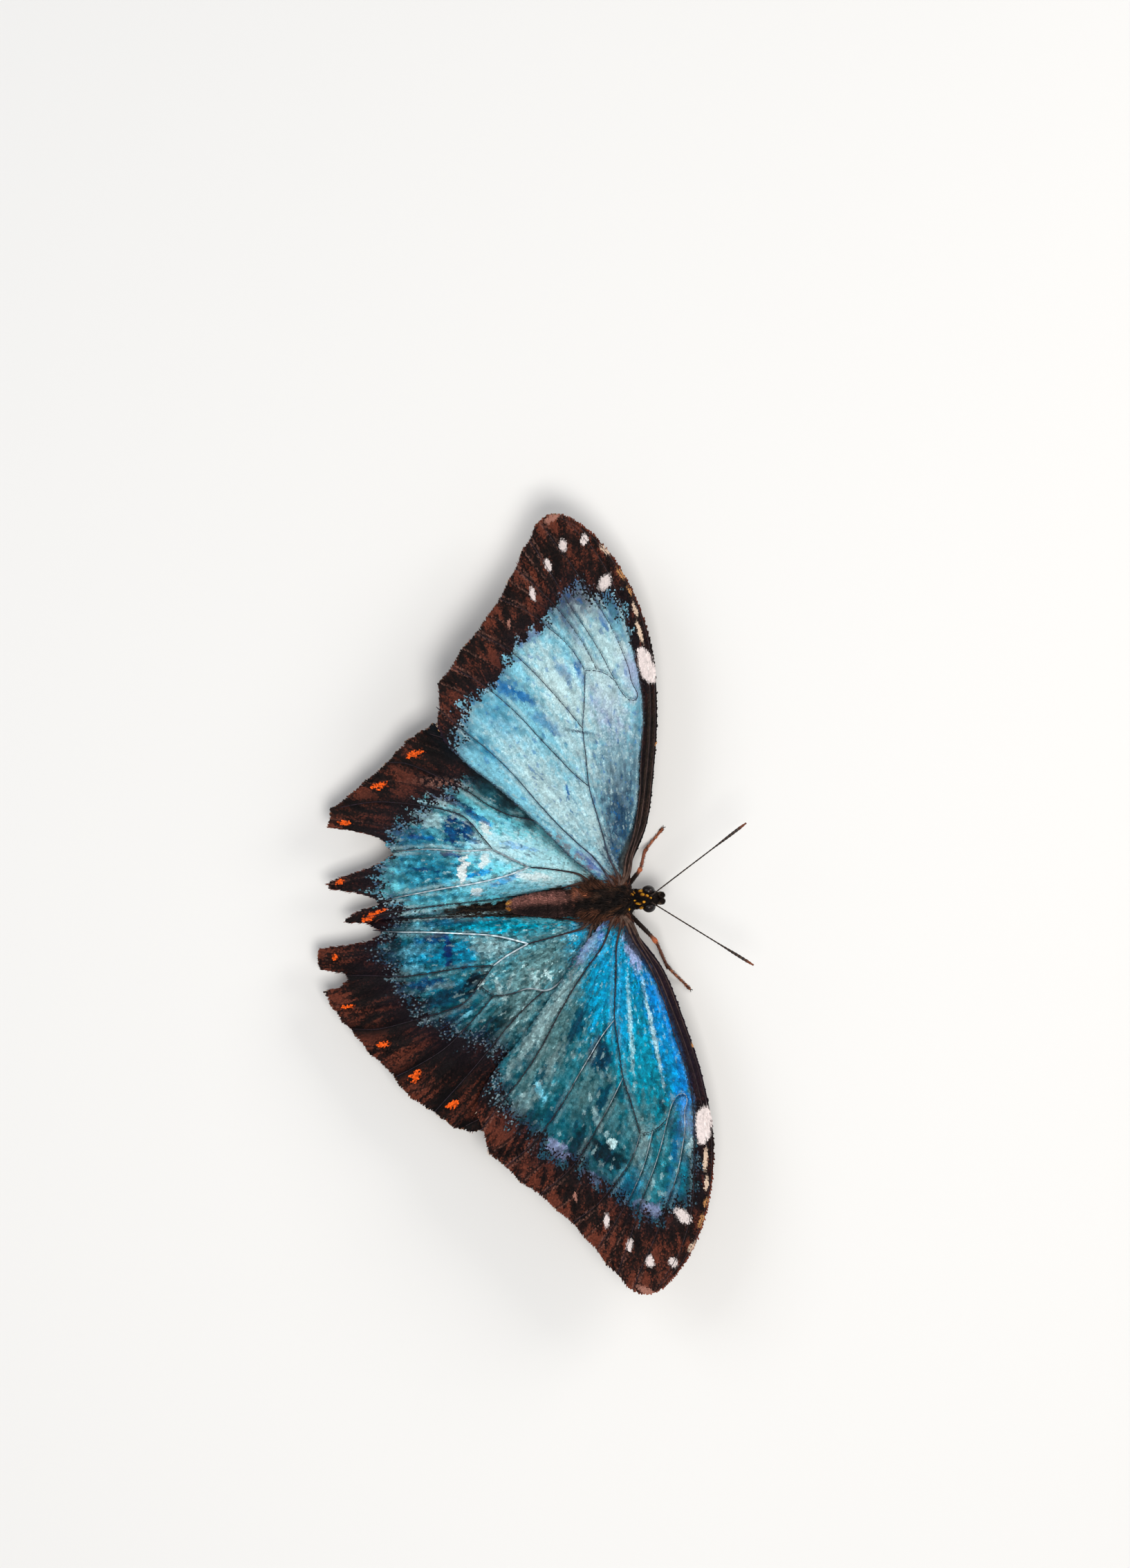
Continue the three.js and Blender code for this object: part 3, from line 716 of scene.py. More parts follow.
# The browns and the colours of the spots.
EARTH, RUST, BARK, CREAM = paint(42, 25, 22), paint(146, 74, 54), paint(14, 10, 11), paint(236, 208, 182)
WHITE, ORANGE, PLUM = paint(244, 230, 226), paint(240, 92, 22), paint(38, 26, 46)
STRAW, BLUSH, OLIVE = paint(204, 146, 92), paint(176, 122, 106), paint(66, 52, 40)

# A cloud: colour, middle in the wing's own axes, half length, half width, turn in degrees,
# strength, and edge: 0.1 for hard flakes up to 1 for a soft breath of colour.
# The silver clouds are painted sheen, strongest on the raised left wings, and the foam-white flakes are
# painted glints.
CLOUDS = {
    "forewing_left": [
        (SLATE, 9.4, 16, 11, 4.2, 62, 0.8, 0.7), (DUSK, 5.4, 7.4, 6.8, 2.5, 60, 0.97, 0.8),
        (DUSK, 12.6, 14.6, 7, 0.8, 56, 0.5, 0.8), (SLATE, 8.6, 14, 5, 0.5, 78, 0.6, 0.6),
        (SILVER_SHEEN, -2, 18, 12, 2.6, 101, 0.75, 0.9), (SILVER_SHEEN, 1.6, 11, 8, 0.9, 80, 0.6, 0.7),
        (SILVER_SHEEN, 5, 23, 7, 1.6, 98, 0.7, 0.8), (SILVER_SHEEN, 8.6, 31, 9, 2.8, 98, 0.85, 0.8),
        (HAZE, 13.6, 25.4, 4.6, 2.2, 80, 0.75, 0.8), (SILVER_SHEEN, 14.8, 28, 7, 2.4, 86, 0.7, 0.8),
        (DUSK, 16.8, 42.4, 3.6, 3.2, 5, 0.7, 0.9), (HAZE, 19.4, 28.6, 5, 1.2, 76, 0.6, 0.7),
        (SILVER_SHEEN, 14.4, 33, 7, 0.9, 92, 0.6, 0.6), (SILVER_SHEEN, 18.6, 34, 7, 1.6, 88, 0.8, 0.7),
        (SILVER_SHEEN, 20.4, 31.4, 1.3, 0.9, 60, 0.9, 0.4), (CYAN, -3.6, 32.4, 4.4, 2, 108, 0.5, 0.8),
        (AZURE, -0.2, 35.7, 2.2, 1.3, 120, 0.85, 0.7), (AZURE, 1.9, 32.6, 2.2, 0.7, 118, 0.85, 0.4),
        (AZURE, 12.3, 32.2, 1.9, 0.55, 72, 0.85, 0.4), (AZURE, 20.1, 37.4, 1.9, 0.5, 80, 0.8, 0.4),
        (AZURE, 2.9, 27.4, 3.2, 0.9, 112, 0.5, 0.35), (AZURE, 14.6, 38, 3, 0.4, 95, 0.55, 0.4),
        (AZURE, 9.8, 33.2, 2.2, 0.8, 100, 0.45, 0.35), (CYAN, -7.4, 27, 5, 0.9, 110, 0.5, 0.5),
        (AZURE, 0.2, 15.6, 1.3, 0.22, 70, 0.85, 0.4), (AZURE, 3.4, 12.4, 0.9, 0.2, 60, 0.6, 0.4),
        (STEEL, -9.6, 31.6, 3.6, 1.6, 115, 0.6, 0.6), (STEEL, 7, 4.9, 4.4, 1, 50, 0.8, 0.6),
        (LILAC, -2.2, 3.6, 2.6, 0.8, 105, 0.85, 0.6), (LILAC, 8.2, 41, 2.4, 0.8, 10, 0.5, 0.6),
        (STEEL, 17.6, 20.6, 4.4, 0.8, 60, 0.5, 0.7), (STEEL, 22.4, 38.4, 2.4, 1, 90, 0.6, 0.6),
        (SILVER_SHEEN, 6.8, 30.4, 4.5, 1.5, 98, 0.7, 0.6), (SILVER_SHEEN, -3.4, 17, 8, 1.2, 103, 0.5, 0.7),
        (DUSK, 1.4, 3.4, 3.4, 1.4, 72, 0.9, 0.7), (SMOKE, 17.4, 41.8, 3.4, 2.8, 5, 0.65, 0.8),
    ],
    "forewing_right": [
        (CYAN, 0.4, 9.5, 8, 3, 90, 1, 0.5), (LAGOON, 8, 18, 11, 3.6, 64, 1, 0.6),
        (CYAN, 4.4, 12, 7, 1.8, 75, 1, 0.6), (ROYAL, 12.6, 14.6, 14, 2.3, 57, 0.95, 0.6),
        (CYAN, 14.6, 19.6, 8, 1, 60, 0.7, 0.6), (ROYAL, 17.6, 23, 3, 0.9, 70, 0.8, 0.35),
        (SILVER_SHEEN, 6.6, 15.2, 7.5, 0.32, 70, 0.6, 0.8), (SILVER_SHEEN, 10.2, 14.8, 6.6, 0.34, 62, 0.75, 0.8),
        (HAZE, 3.6, 3.6, 3, 0.9, 56, 0.9, 0.6), (LILAC, -3.2, 3.6, 3.6, 1.3, 104, 0.9, 0.6),
        (GREY, -5, 22, 11, 3.4, 104, 0.9, 0.7), (ASH, -7, 18.6, 10, 1.1, 107, 0.9, 0.6),
        (GREY, 6.6, 30.6, 7, 4, 90, 0.6, 0.8), (ASH, -4.2, 25.6, 5, 0.7, 104, 0.6, 0.5),
        (GREY, 2.4, 27.6, 5, 1.8, 96, 0.7, 0.6), (GREY, 12.6, 30, 5, 1.8, 85, 0.7, 0.7),
        (SEA, -1.6, 17.2, 3.2, 1.1, 98, 0.9, 0.4), (SEA, 3.2, 21.2, 2, 1.4, 75, 0.95, 0.35),
        (SEA, 5.6, 28.2, 2.8, 0.9, 95, 0.9, 0.4), (SEA, -5, 27.6, 2.2, 0.8, 100, 0.85, 0.4),
        (SEA, 8.4, 26, 1.6, 1.2, 20, 0.6, 0.4), (SEA, 17.6, 28.6, 2.6, 0.4, 82, 0.6, 0.4),
        (SEA, -1.2, 31.6, 3, 0.9, 100, 0.7, 0.4), (SEA, -9.6, 30.4, 2.2, 0.9, 105, 0.7, 0.4),
        (SEA, 5.4, 34, 5, 3, 20, 0.55, 0.8), (INK, 8.8, 36.4, 3.6, 1.9, 14, 0.9, 0.5),
        (INK, 3.6, 36, 2.6, 0.9, 96, 0.8, 0.4), (INK, -4.6, 33.8, 2.8, 1.4, 110, 0.55, 0.5),
        (ASH, 6, 31.4, 2, 0.7, 60, 0.5, 0.3), (SEA, -7.6, 25, 2.6, 0.6, 105, 0.6, 0.35),
        (SKY, -4.4, 29.4, 1.8, 0.5, 50, 0.8, 0.3), (SILVER_SHEEN, 9.2, 34.3, 1, 0.6, 30, 0.9, 0.25),
        (ASH, 4.4, 23.8, 2.6, 0.5, 20, 0.5, 0.4), (ASH, -6.6, 32.4, 3, 1.4, 120, 0.45, 0.3),
        (HAZE, 1, 37.8, 2.1, 1.1, 30, 0.85, 0.3), (HAZE, 7.4, 40.4, 1.9, 0.7, 10, 0.55, 0.3),
        (HAZE, 18.1, 42.8, 2.2, 1.2, 10, 0.85, 0.3), (STEEL, 13.8, 40.6, 3, 2.2, 95, 0.8, 0.5),
        (SEA, 3.2, 21.2, 2.8, 1.7, 75, 1, 0.4), (HAZE, -3.4, 4, 3, 0.7, 104, 0.6, 0.5),
        (SEA, 12.4, 33.4, 2.4, 0.8, 80, 0.45, 0.4), (INK, 15.2, 26.2, 1.6, 0.4, 60, 0.6, 0.4),
        (STEEL, 20.6, 39.6, 2.4, 1.2, 95, 0.7, 0.5), (SILVER_SHEEN, 21.5, 31.4, 1.6, 0.4, 88, 0.8, 0.4),
        (LAGOON, 21.6, 35.4, 3.8, 0.6, 82, 0.8, 0.5), (AZURE, 19.2, 31, 5.5, 0.7, 84, 0.4, 0.6),
        (SKY, -3, 4.2, 2.8, 0.8, 104, 0.4, 0.6), (SEA, 3.2, 21.2, 2, 1.4, 75, 0.8, 0.4),
        (ASH, 14.2, 33.2, 3.2, 1, 88, 0.5, 0.6),
    ],
    # On the left hindwing the dark sea-green cloud along the forewing's edge is partly painted shadow of
    # the forewing, and the foam-white flakes are painted glints.
    "hindwing_left": [
        (SKY, -18, 9.2, 7, 2.6, 165, 0.8, 0.7), (SILVER_SHEEN, -11, 7.4, 8, 2.6, 154, 0.55, 0.8),
        (SILVER_SHEEN, -19, 9.8, 4.6, 1.8, 165, 0.5, 0.6), (SKY, -17, 3.2, 9, 1.3, 176, 0.85, 0.6),
        (SILVER_SHEEN, -10, 4, 6, 1, 176, 0.5, 0.7), (STEEL, -31, 7.4, 6.4, 5, 90, 0.8, 0.7),
        (STEEL, -26, 6.2, 5, 1.6, 178, 0.6, 0.5), (SEA, -18.4, 17.4, 5.6, 1.5, 138, 0.8, 0.7),
        (SKY, -18.2, 14.2, 3.6, 0.6, 150, 0.5, 0.4), (SILVER_SHEEN, -27, 18, 2.6, 0.7, 160, 0.9, 0.2),
        (SILVER_SHEEN, -29.6, 14.8, 3.4, 1.1, 172, 0.6, 0.3), (FOAM_GLINT, -20.3, 12.9, 1.3, 0.8, 100, 0.8, 0.15),
        (FOAM_GLINT, -24.3, 6.4, 1.9, 0.8, 78, 1, 0.12), (FOAM_GLINT, -20.7, 7.6, 1.1, 0.8, 60, 0.8, 0.2),
        (FOAM_GLINT, -22.4, 2.6, 0.8, 0.8, 90, 0.9, 0.15), (FOAM_GLINT, -13, 4.6, 2.6, 0.6, 172, 0.7, 0.4),
        (DEEP, -25.4, 15, 2.2, 0.5, 20, 0.8, 0.2), (DEEP, -22.6, 10.9, 1.8, 0.4, 175, 0.8, 0.2),
        (AZURE, -21.6, 14.6, 2.2, 0.6, 150, 0.7, 0.2), (DEEP, -25.6, 12.6, 2.4, 1.7, 95, 0.95, 0.5),
        (DEEP, -23.2, 12.9, 1.5, 0.9, 100, 0.95, 0.2), (DEEP, -26.2, 8.9, 1.9, 0.35, 172, 0.95, 0.2),
        (DEEP, -24.6, 17, 2.8, 0.7, 150, 0.8, 0.2), (AZURE, -17.6, 4.3, 2.6, 0.5, 20, 0.6, 0.2),
        (AZURE, -21.6, 5.6, 2, 0.4, 15, 0.7, 0.2), (AZURE, -15.2, 9.6, 2.6, 0.5, 165, 0.5, 0.25),
        (AZURE, -31.4, 11.9, 2.8, 0.35, 175, 0.8, 0.25), (DEEP, -31.4, 6.8, 2.4, 0.25, 170, 0.7, 0.25),
        (STEEL, -24, 2, 6, 0.6, 178, 0.5, 0.4), (DEEP, -33, 12.2, 2.6, 1.7, 175, 0.55, 0.5),
    ],
    "hindwing_right": [
        (LAGOON, -15, 2.6, 11, 1.3, 178, 0.9, 0.6), (TURQUOISE, -11, 2.3, 6, 0.9, 178, 0.6, 0.6),
        (SILVER_SHEEN, -21, 1.1, 10, 0.35, 178, 0.95, 0.6), (DEEP, -28.5, 2.2, 3, 0.7, 178, 0.6, 0.4),
        (CYAN, -6.4, 6, 3.2, 1.8, 120, 0.95, 0.5), (GREY, -12.6, 9.6, 7.5, 3, 150, 0.9, 0.7),
        (GREY, -16.4, 16.6, 6, 3, 130, 0.85, 0.6), (ASH, -20.6, 6.6, 3.6, 1.5, 178, 0.6, 0.6),
        (ASH, -19.4, 13.4, 1.9, 0.5, 70, 0.8, 0.2), (ASH, -17.8, 12.6, 1.5, 0.35, 110, 0.7, 0.2),
        (ASH, -13.6, 12.2, 1.6, 0.5, 60, 0.6, 0.3), (SILVER_SHEEN, -11.4, 11.4, 1.2, 0.3, 60, 0.7, 0.3),
        (STEEL, -25.6, 7.4, 2.4, 2, 90, 0.9, 0.5), (STEEL, -31, 7.2, 4.4, 2.4, 178, 0.9, 0.6),
        (CYAN, -24, 8, 1.6, 0.8, 90, 0.45, 0.5), (CYAN, -31.6, 7.8, 3, 0.7, 178, 0.4, 0.6),
        (DEEP, -27.5, 6.8, 2.3, 0.7, 84, 0.97, 0.25), (DEEP, -30.4, 4.8, 3, 0.8, 170, 0.8, 0.3),
        (CYAN, -27, 12.6, 3, 1, 168, 0.4, 0.6), (DEEP, -31.4, 11.9, 3.2, 0.9, 175, 0.75, 0.3),
        (SEA, -28, 14.2, 4.6, 1.5, 160, 0.85, 0.4), (ASH, -28.6, 12.4, 2.4, 0.5, 172, 0.5, 0.6),
        (INK, -23.2, 11.8, 2.3, 1.2, 132, 0.97, 0.35), (SEA, -24.4, 2.4, 2.2, 0.6, 178, 0.8, 0.3),
        (SEA, -19, 2.7, 1.6, 0.6, 178, 0.55, 0.3), (SKY, -33.8, 6.6, 3, 1.2, 178, 0.4, 0.8),
        (SKY, -33.2, 3, 3, 0.8, 178, 0.4, 0.8), (INK, -36.4, 6.2, 1.6, 1, 178, 0.7, 0.25),
        (SKY, -34.4, 9.4, 2.4, 0.6, 178, 0.5, 0.7), (INK, -21.4, 19.8, 5, 1.6, 140, 0.85, 0.5),
        (SEA, -27.4, 17.4, 4.6, 1.6, 152, 0.85, 0.5), (SKY, -25.4, 17.6, 2.4, 0.3, 150, 0.5, 0.1),
        (SILVER_SHEEN, -22.2, 12.2, 1.2, 0.25, 130, 0.6, 0.15), (SEA, -36.6, 4.4, 2, 0.8, 178, 0.7, 0.2),
        (SEA, -27.8, 14, 3.2, 0.9, 162, 0.85, 0.4), (INK, -36, 6.4, 2.2, 1.2, 90, 0.5, 0.4),
    ],
}
# The colour under the clouds, and the colour of the small dark flecks over them.
GROUND = {"forewing_left": SKY, "forewing_right": TEAL, "hindwing_left": TURQUOISE,
          "hindwing_right": TEAL}
FLECK = {"forewing_left": AZURE, "forewing_right": SEA, "hindwing_left": DEEP, "hindwing_right": SEA}
# Lighter and darker places of the brown: how much, middle, half length, half width, turn.
MARGIN_CLOUDS = {
    "forewing_left": [
        (1.2, -7.6, 38.2, 2.4, 1.6, 30), (1.3, 1, 41.2, 1.6, 1.2, 60), (1.4, 4.6, 47, 2.6, 1.4, 30),
        (0.9, 7, 45, 2.6, 1.2, 30), (1.2, 13.2, 45.4, 2.4, 1.3, 70), (1.1, 16.2, 49.8, 1.6, 1.2, 45),
        (1, 20.4, 54.8, 2.8, 1, 30), (-1, 4, 42.4, 1.8, 1.2, 80), (-0.9, 19.2, 51.4, 3, 1, 80),
    ],
    "forewing_right": [
        (1.5, -7.8, 38, 2.6, 1.8, 30), (1.4, -2, 43.6, 2.4, 1.2, 30), (1.6, 4.2, 47.2, 2.8, 1.2, 30),
        (1.3, 10.4, 50.4, 2.6, 1.2, 30), (1.3, 16.2, 50.2, 2, 1.2, 60), (1.3, 22, 50.2, 1.6, 1.2, 60),
        (0.9, 13, 44.4, 1.8, 1, 60), (-1.2, 4, 42.4, 2.4, 1.6, 80), (-1, 10.4, 45.4, 3, 1.4, 70),
    ],
    "hindwing_left": [
        (1.2, -33.2, 21, 3.6, 2.6, 140), (1.5, -40, 19.6, 2, 1.4, 140), (0.9, -37.6, 14.6, 2.4, 1, 165),
        (1, -28.4, 22.6, 2.4, 0.9, 165), (-1, -26.6, 25.2, 3.2, 1.2, 140),
    ],
    "hindwing_right": [
        (1.5, -40.6, 20.2, 2.6, 1.8, 130), (1.3, -36.6, 24.2, 2.4, 1.4, 130),
        (0.8, -45, 13.6, 2, 0.9, 170), (-1.1, -39.6, 11.2, 5, 2, 175), (-1.1, -35.4, 17, 3.4, 1.2, 160),
        (-0.8, -27, 24, 5, 2.4, 145),
    ],
}
# How strong the flecks are, how pure the blue is, how far it dims towards the margin, and how
# bright it is, near the root and far from it.
TEXTURE = {
    "forewing_left": (0.5, 1.05, 0.08, 0.92, 0.98), "forewing_right": (1.2, 1.25, 0.4, 1.16, 1.06),
    "hindwing_left": (1.6, 1.15, 0.4, 1.48, 0.88), "hindwing_right": (1.8, 1.15, 0.6, 1.48, 0.9),
}
# The border of the blue field on each side.
FORE_FIELD = {
    "left": [[0.6, -2], [2.4, 1.2], [6.1, 4.4], [10.4, 9.9], [13.5, 14.6], [16.9, 19.1], [19.2, 23.1],
             [20.6, 26.8], [21.8, 30.2], [22.8, 33.6], [23.7, 36.8], [23, 39.6], [20.7, 41.3],
             [18.7, 44.3], [15.8, 43.8], [13.1, 43], [11.2, 41.2], [8.5, 41.2], [6.4, 41], [2.8, 39.2],
             [-0.4, 37.5], [-4, 36.7], [-6.8, 36.7], [-10, 34.6], [-12.4, 32], [-14.5, 28], [-11, 18],
             [-6.5, 6], [-4, -2]],
    "right": [[0.6, -2], [2.4, 1.2], [6.2, 4.1], [11.2, 9.8], [14.2, 14.4], [17.3, 19.3], [19.3, 23],
              [20.8, 26.8], [22, 30.4], [23.2, 34.8], [24.1, 39], [22.2, 40.6], [20.6, 43.2],
              [18.6, 44.4], [16.2, 43.6], [13.6, 43], [11.5, 41.5], [9, 41], [6.6, 40.2], [4.2, 38.3],
              [1.8, 39.2], [-0.8, 38.9], [-2.6, 36.3], [-5.5, 35.6], [-8.6, 34], [-11.4, 31.4],
              [-13.3, 28], [-11, 18], [-6.5, 6], [-4, -2]],
}
HIND_FIELD = {
    "left": [[-1, 3], [-2.6, 9], [-6, 15.5], [-12, 22], [-18, 23.4], [-22.4, 21.2], [-25.6, 18.9],
             [-29.4, 17.5], [-31.6, 15.6], [-34.2, 13.9], [-36, 12.7], [-35.9, 11.2], [-38, 7.6],
             [-38.6, 4.4], [-37.2, 2.2], [-35.6, 0.5], [-33, -1.6], [-20, -1.6], [-6, 0.4]],
    "right": [[-1, 3], [-2.4, 9], [-4.6, 16.5], [-9.6, 24.5], [-15, 26.6], [-20.8, 23.2], [-24.6, 21.4],
              [-28.2, 19.7], [-31.5, 18], [-33.4, 15.2], [-35.6, 13.4], [-36, 11.4], [-36.8, 9.2],
              [-39.2, 7.2], [-38.8, 5.2], [-37.2, 3.2], [-35.4, 1.2], [-33, -1.6], [-20, -1.6],
              [-6, 0.4]],
}

# A spot: colour, middle, half length, half width, turn in degrees.
FORE_SPOTS = [
    (WHITE, 24.1, 50.1, 0.8, 0.55, 45), (WHITE, 20.5, 51, 0.85, 0.6, 60),
    (WHITE, 16.6, 49.4, 0.9, 0.45, 80), (WHITE, 11.9, 46.6, 1, 0.38, 72),
    (WHITE, 23.5, 42.4, 1.35, 0.8, 25), (CREAM, 26.3, 46.9, 0.9, 0.32, 105),
    (STRAW, 26.6, 42.3, 1, 0.32, 92), (STRAW, 26.5, 39.2, 0.8, 0.25, 88),
    (CREAM, 25.7, 36.2, 1.1, 0.28, 78), (CREAM, 24.4, 32.6, 1.7, 0.3, 76),
    (STRAW, 17.2, 15.4, 0.3, 0.25, 0), (BLUSH, 21.4, 55.8, 1.6, 0.5, 10),
    (BLUSH, 5.9, 44.3, 0.8, 0.22, 62),
]
# The large white patch near the forewing's front edge, and the hindwings' orange spots.
FORE_WINDOW = [[20.9, 25.9], [21.4, 24.8], [22.3, 24.2], [23.4, 25.6], [24.1, 28.6], [23.5, 30.2],
               [22.5, 30.3], [21.3, 27.6]]
HIND_SPOTS = {
    "left": [(-31.3, 25.5, 1.1, 0.5, 195), (-37.4, 20.7, 1.05, 0.4, 195), (-43.3, 14.9, 0.8, 0.3, 175),
             (-44.6, 5.3, 0.5, 0.28, 185), (-39.9, -0.5, 1.8, 0.36, 205)],
    "right": [(-46.1, 7, 0.45, 0.4, 80), (-44.4, 15, 0.8, 0.28, 172), (-38.9, 21.5, 1, 0.32, 172),
              (-34, 26.9, 0.9, 0.55, 130), (-28.1, 31.8, 0.8, 0.45, 150)],
}


def ellipse(own, c, s, length, width, turn):
    """Squared distance from an ellipse's middle (c, s) in units of its half axes."""
    angle = math.radians(turn)
    gap = own - np.array([c, s])
    along = gap @ np.array([math.cos(angle), math.sin(angle)]) / length
    across = gap @ np.array([-math.sin(angle), math.cos(angle)]) / width
    return along**2 + across**2


print("clouds:", {name: len(rows) for name, rows in CLOUDS.items()})


# %% Painting the upper side
BROWN_LEVEL = 0.62                           # brightness of the brown margin against its colours
COAT_LEVEL = 0.7                             # brightness of the whole upper side
SHEET_LEVEL = 0.8                            # the membrane is this much darker than its scales


def streaks(wing, own, seed, spread=26.0, reach=5.0):
    """Mottle stretched along the flow: its axes are the angle round the hinge and the distance."""
    gap = own - wing.hinge
    turn = np.arctan2(gap[:, 1], gap[:, 0]) * spread
    return mottle(np.stack([turn, np.linalg.norm(gap, axis=1) / reach], axis=1), 0.9, seed)


def beside(wing, own, shift):
    """Points moved sideways across the flow, to draw a line next to another."""
    flow = wing.flow(own)
    return own + shift * np.stack([-flow[:, 1], flow[:, 0]], axis=1)


def line_mask(points, lines, width):
    """A soft line: a bell curve of the distance to the nearest of the polylines."""
    return bell(distance(points, lines), width)


def margin_colours(wing, own, grain):
    """The brown margin: earth with rust streaks and grain, a pale rib of painted highlight beside each
    fold, and painted shade in the folds' creases.
    """
    warm = 0.8 if wing.fore else 0.75
    reach = distance(own, [wing.margin])
    tone = 0.5 * mottle(own, 3.6, 31) + 0.45 * streaks(wing, own, 32, 60, 4.0) - 0.1
    tone = tone + 0.2 * streaks(wing, own, 33, 120, 2.0) + (grain - 0.5) * 1.4
    tone = tone + (0.0 if wing.left else 0.4) * bell(reach, 6)
    for shift, *oval in MARGIN_CLOUDS[wing.name]:
        tone = tone + shift * np.exp(-ellipse(own, *oval))
    brown = mix(EARTH, RUST, warm * step(tone, -0.2, 1.7))
    brown = mix(brown, BARK, 0.85 * step(-tone, 0.0, 1.4))
    rim = bell(reach, 5.5)
    # Painted highlight: a pale rib on one side of each fold, where its raised edge catches the light.
    rib_highlight = line_mask(beside(wing, own, 0.26), wing.folds, 0.13) * rim * step(grain, 0.15, 0.4)
    brown = mix(brown, BLUSH, (0.75 if wing.fore else 0.25) * rib_highlight)
    lines = distance(own, wing.veins.values())
    if not wing.fore:
        wide = 1.0 if wing.left else 1.5
        brown = mix(brown, BARK, (0.7 if wing.left else 0.9) * bell(lines, wide))
    else:
        along = bell(lines - 0.3, 0.16) * rim
        brown = mix(brown, BLUSH, 0.5 * along * step(grain, 0.2, 0.5))
    # Painted shade: the folds' creases are darkened with bark brown.
    return BROWN_LEVEL * mix(brown, BARK, 0.8 * line_mask(own, wing.folds, 0.2))


def field_colours(wing, own, grain):
    """The blue field: a ground colour, clouds, rays along the veins, flecks and ripples."""
    blue = GROUND[wing.name]
    noise = (grain - 0.5) * 0.55
    for seed, (colour, *oval, strength, edge) in enumerate(CLOUDS[wing.name]):
        reach = np.sqrt(ellipse(own, *oval))
        ragged = 0.16 * mottle(own, 0.8, 100 + seed) + 0.14 * streaks(wing, own, 200 + seed, 50, 2.0)
        blue = mix(blue, colour, strength * step(1 - reach + ragged + noise * edge, -edge, edge))
    rays = streaks(wing, own, 41)
    blue = mix(blue, blue * 0.6, 0.5 * step(rays, 0.5, 2.0))
    blue = mix(blue, blue * 1.4 + 0.005, 0.5 * step(-rays, 0.5, 2.0))
    fleck = streaks(wing, own, 42, 55, 1.3) + 0.5 * mottle(own, 3.0, 43) + (grain - 0.5) * 0.8
    blue = mix(blue, FLECK[wing.name], (0.5 if wing.left else 0.6) * step(fleck, 1.5, 2.3))
    # Painted sheen: pale silver flecks, more of them on the left wings.
    blue = mix(blue, SILVER_SHEEN, (0.45 if wing.left else 0.3) * step(-fleck, 1.4, 2.3))
    rough, pure, _, near, far = TEXTURE[wing.name]
    speck = 0.12 * mottle(own, 0.42, 47) + 0.12 * mottle(own, 1.0, 48)
    speck = speck + 0.12 * streaks(wing, own, 49, 45, 1.8)
    reach = np.linalg.norm(own - wing.hinge, axis=1)
    ripple = reach * 2 * np.pi / 0.8 + 1.8 * mottle(own, 1.4, 45)
    strength = (0.05 if wing.fore else 0.17) * step(mottle(own, 4.0, 46), -0.6, 0.8)
    bright = near + (far - near) * step(reach, 18, 28)
    blue = blue * (bright * np.exp(rough * speck) * (1 + strength * np.sin(ripple)))[:, None]
    grey = blue.mean(axis=1, keepdims=True)
    blue = np.maximum(grey + (blue - grey) * (pure + 0.35 * step(0.16 - grey, 0, 0.14)), 0.002)
    return blue / np.maximum(blue.max(axis=1, keepdims=True), 1)


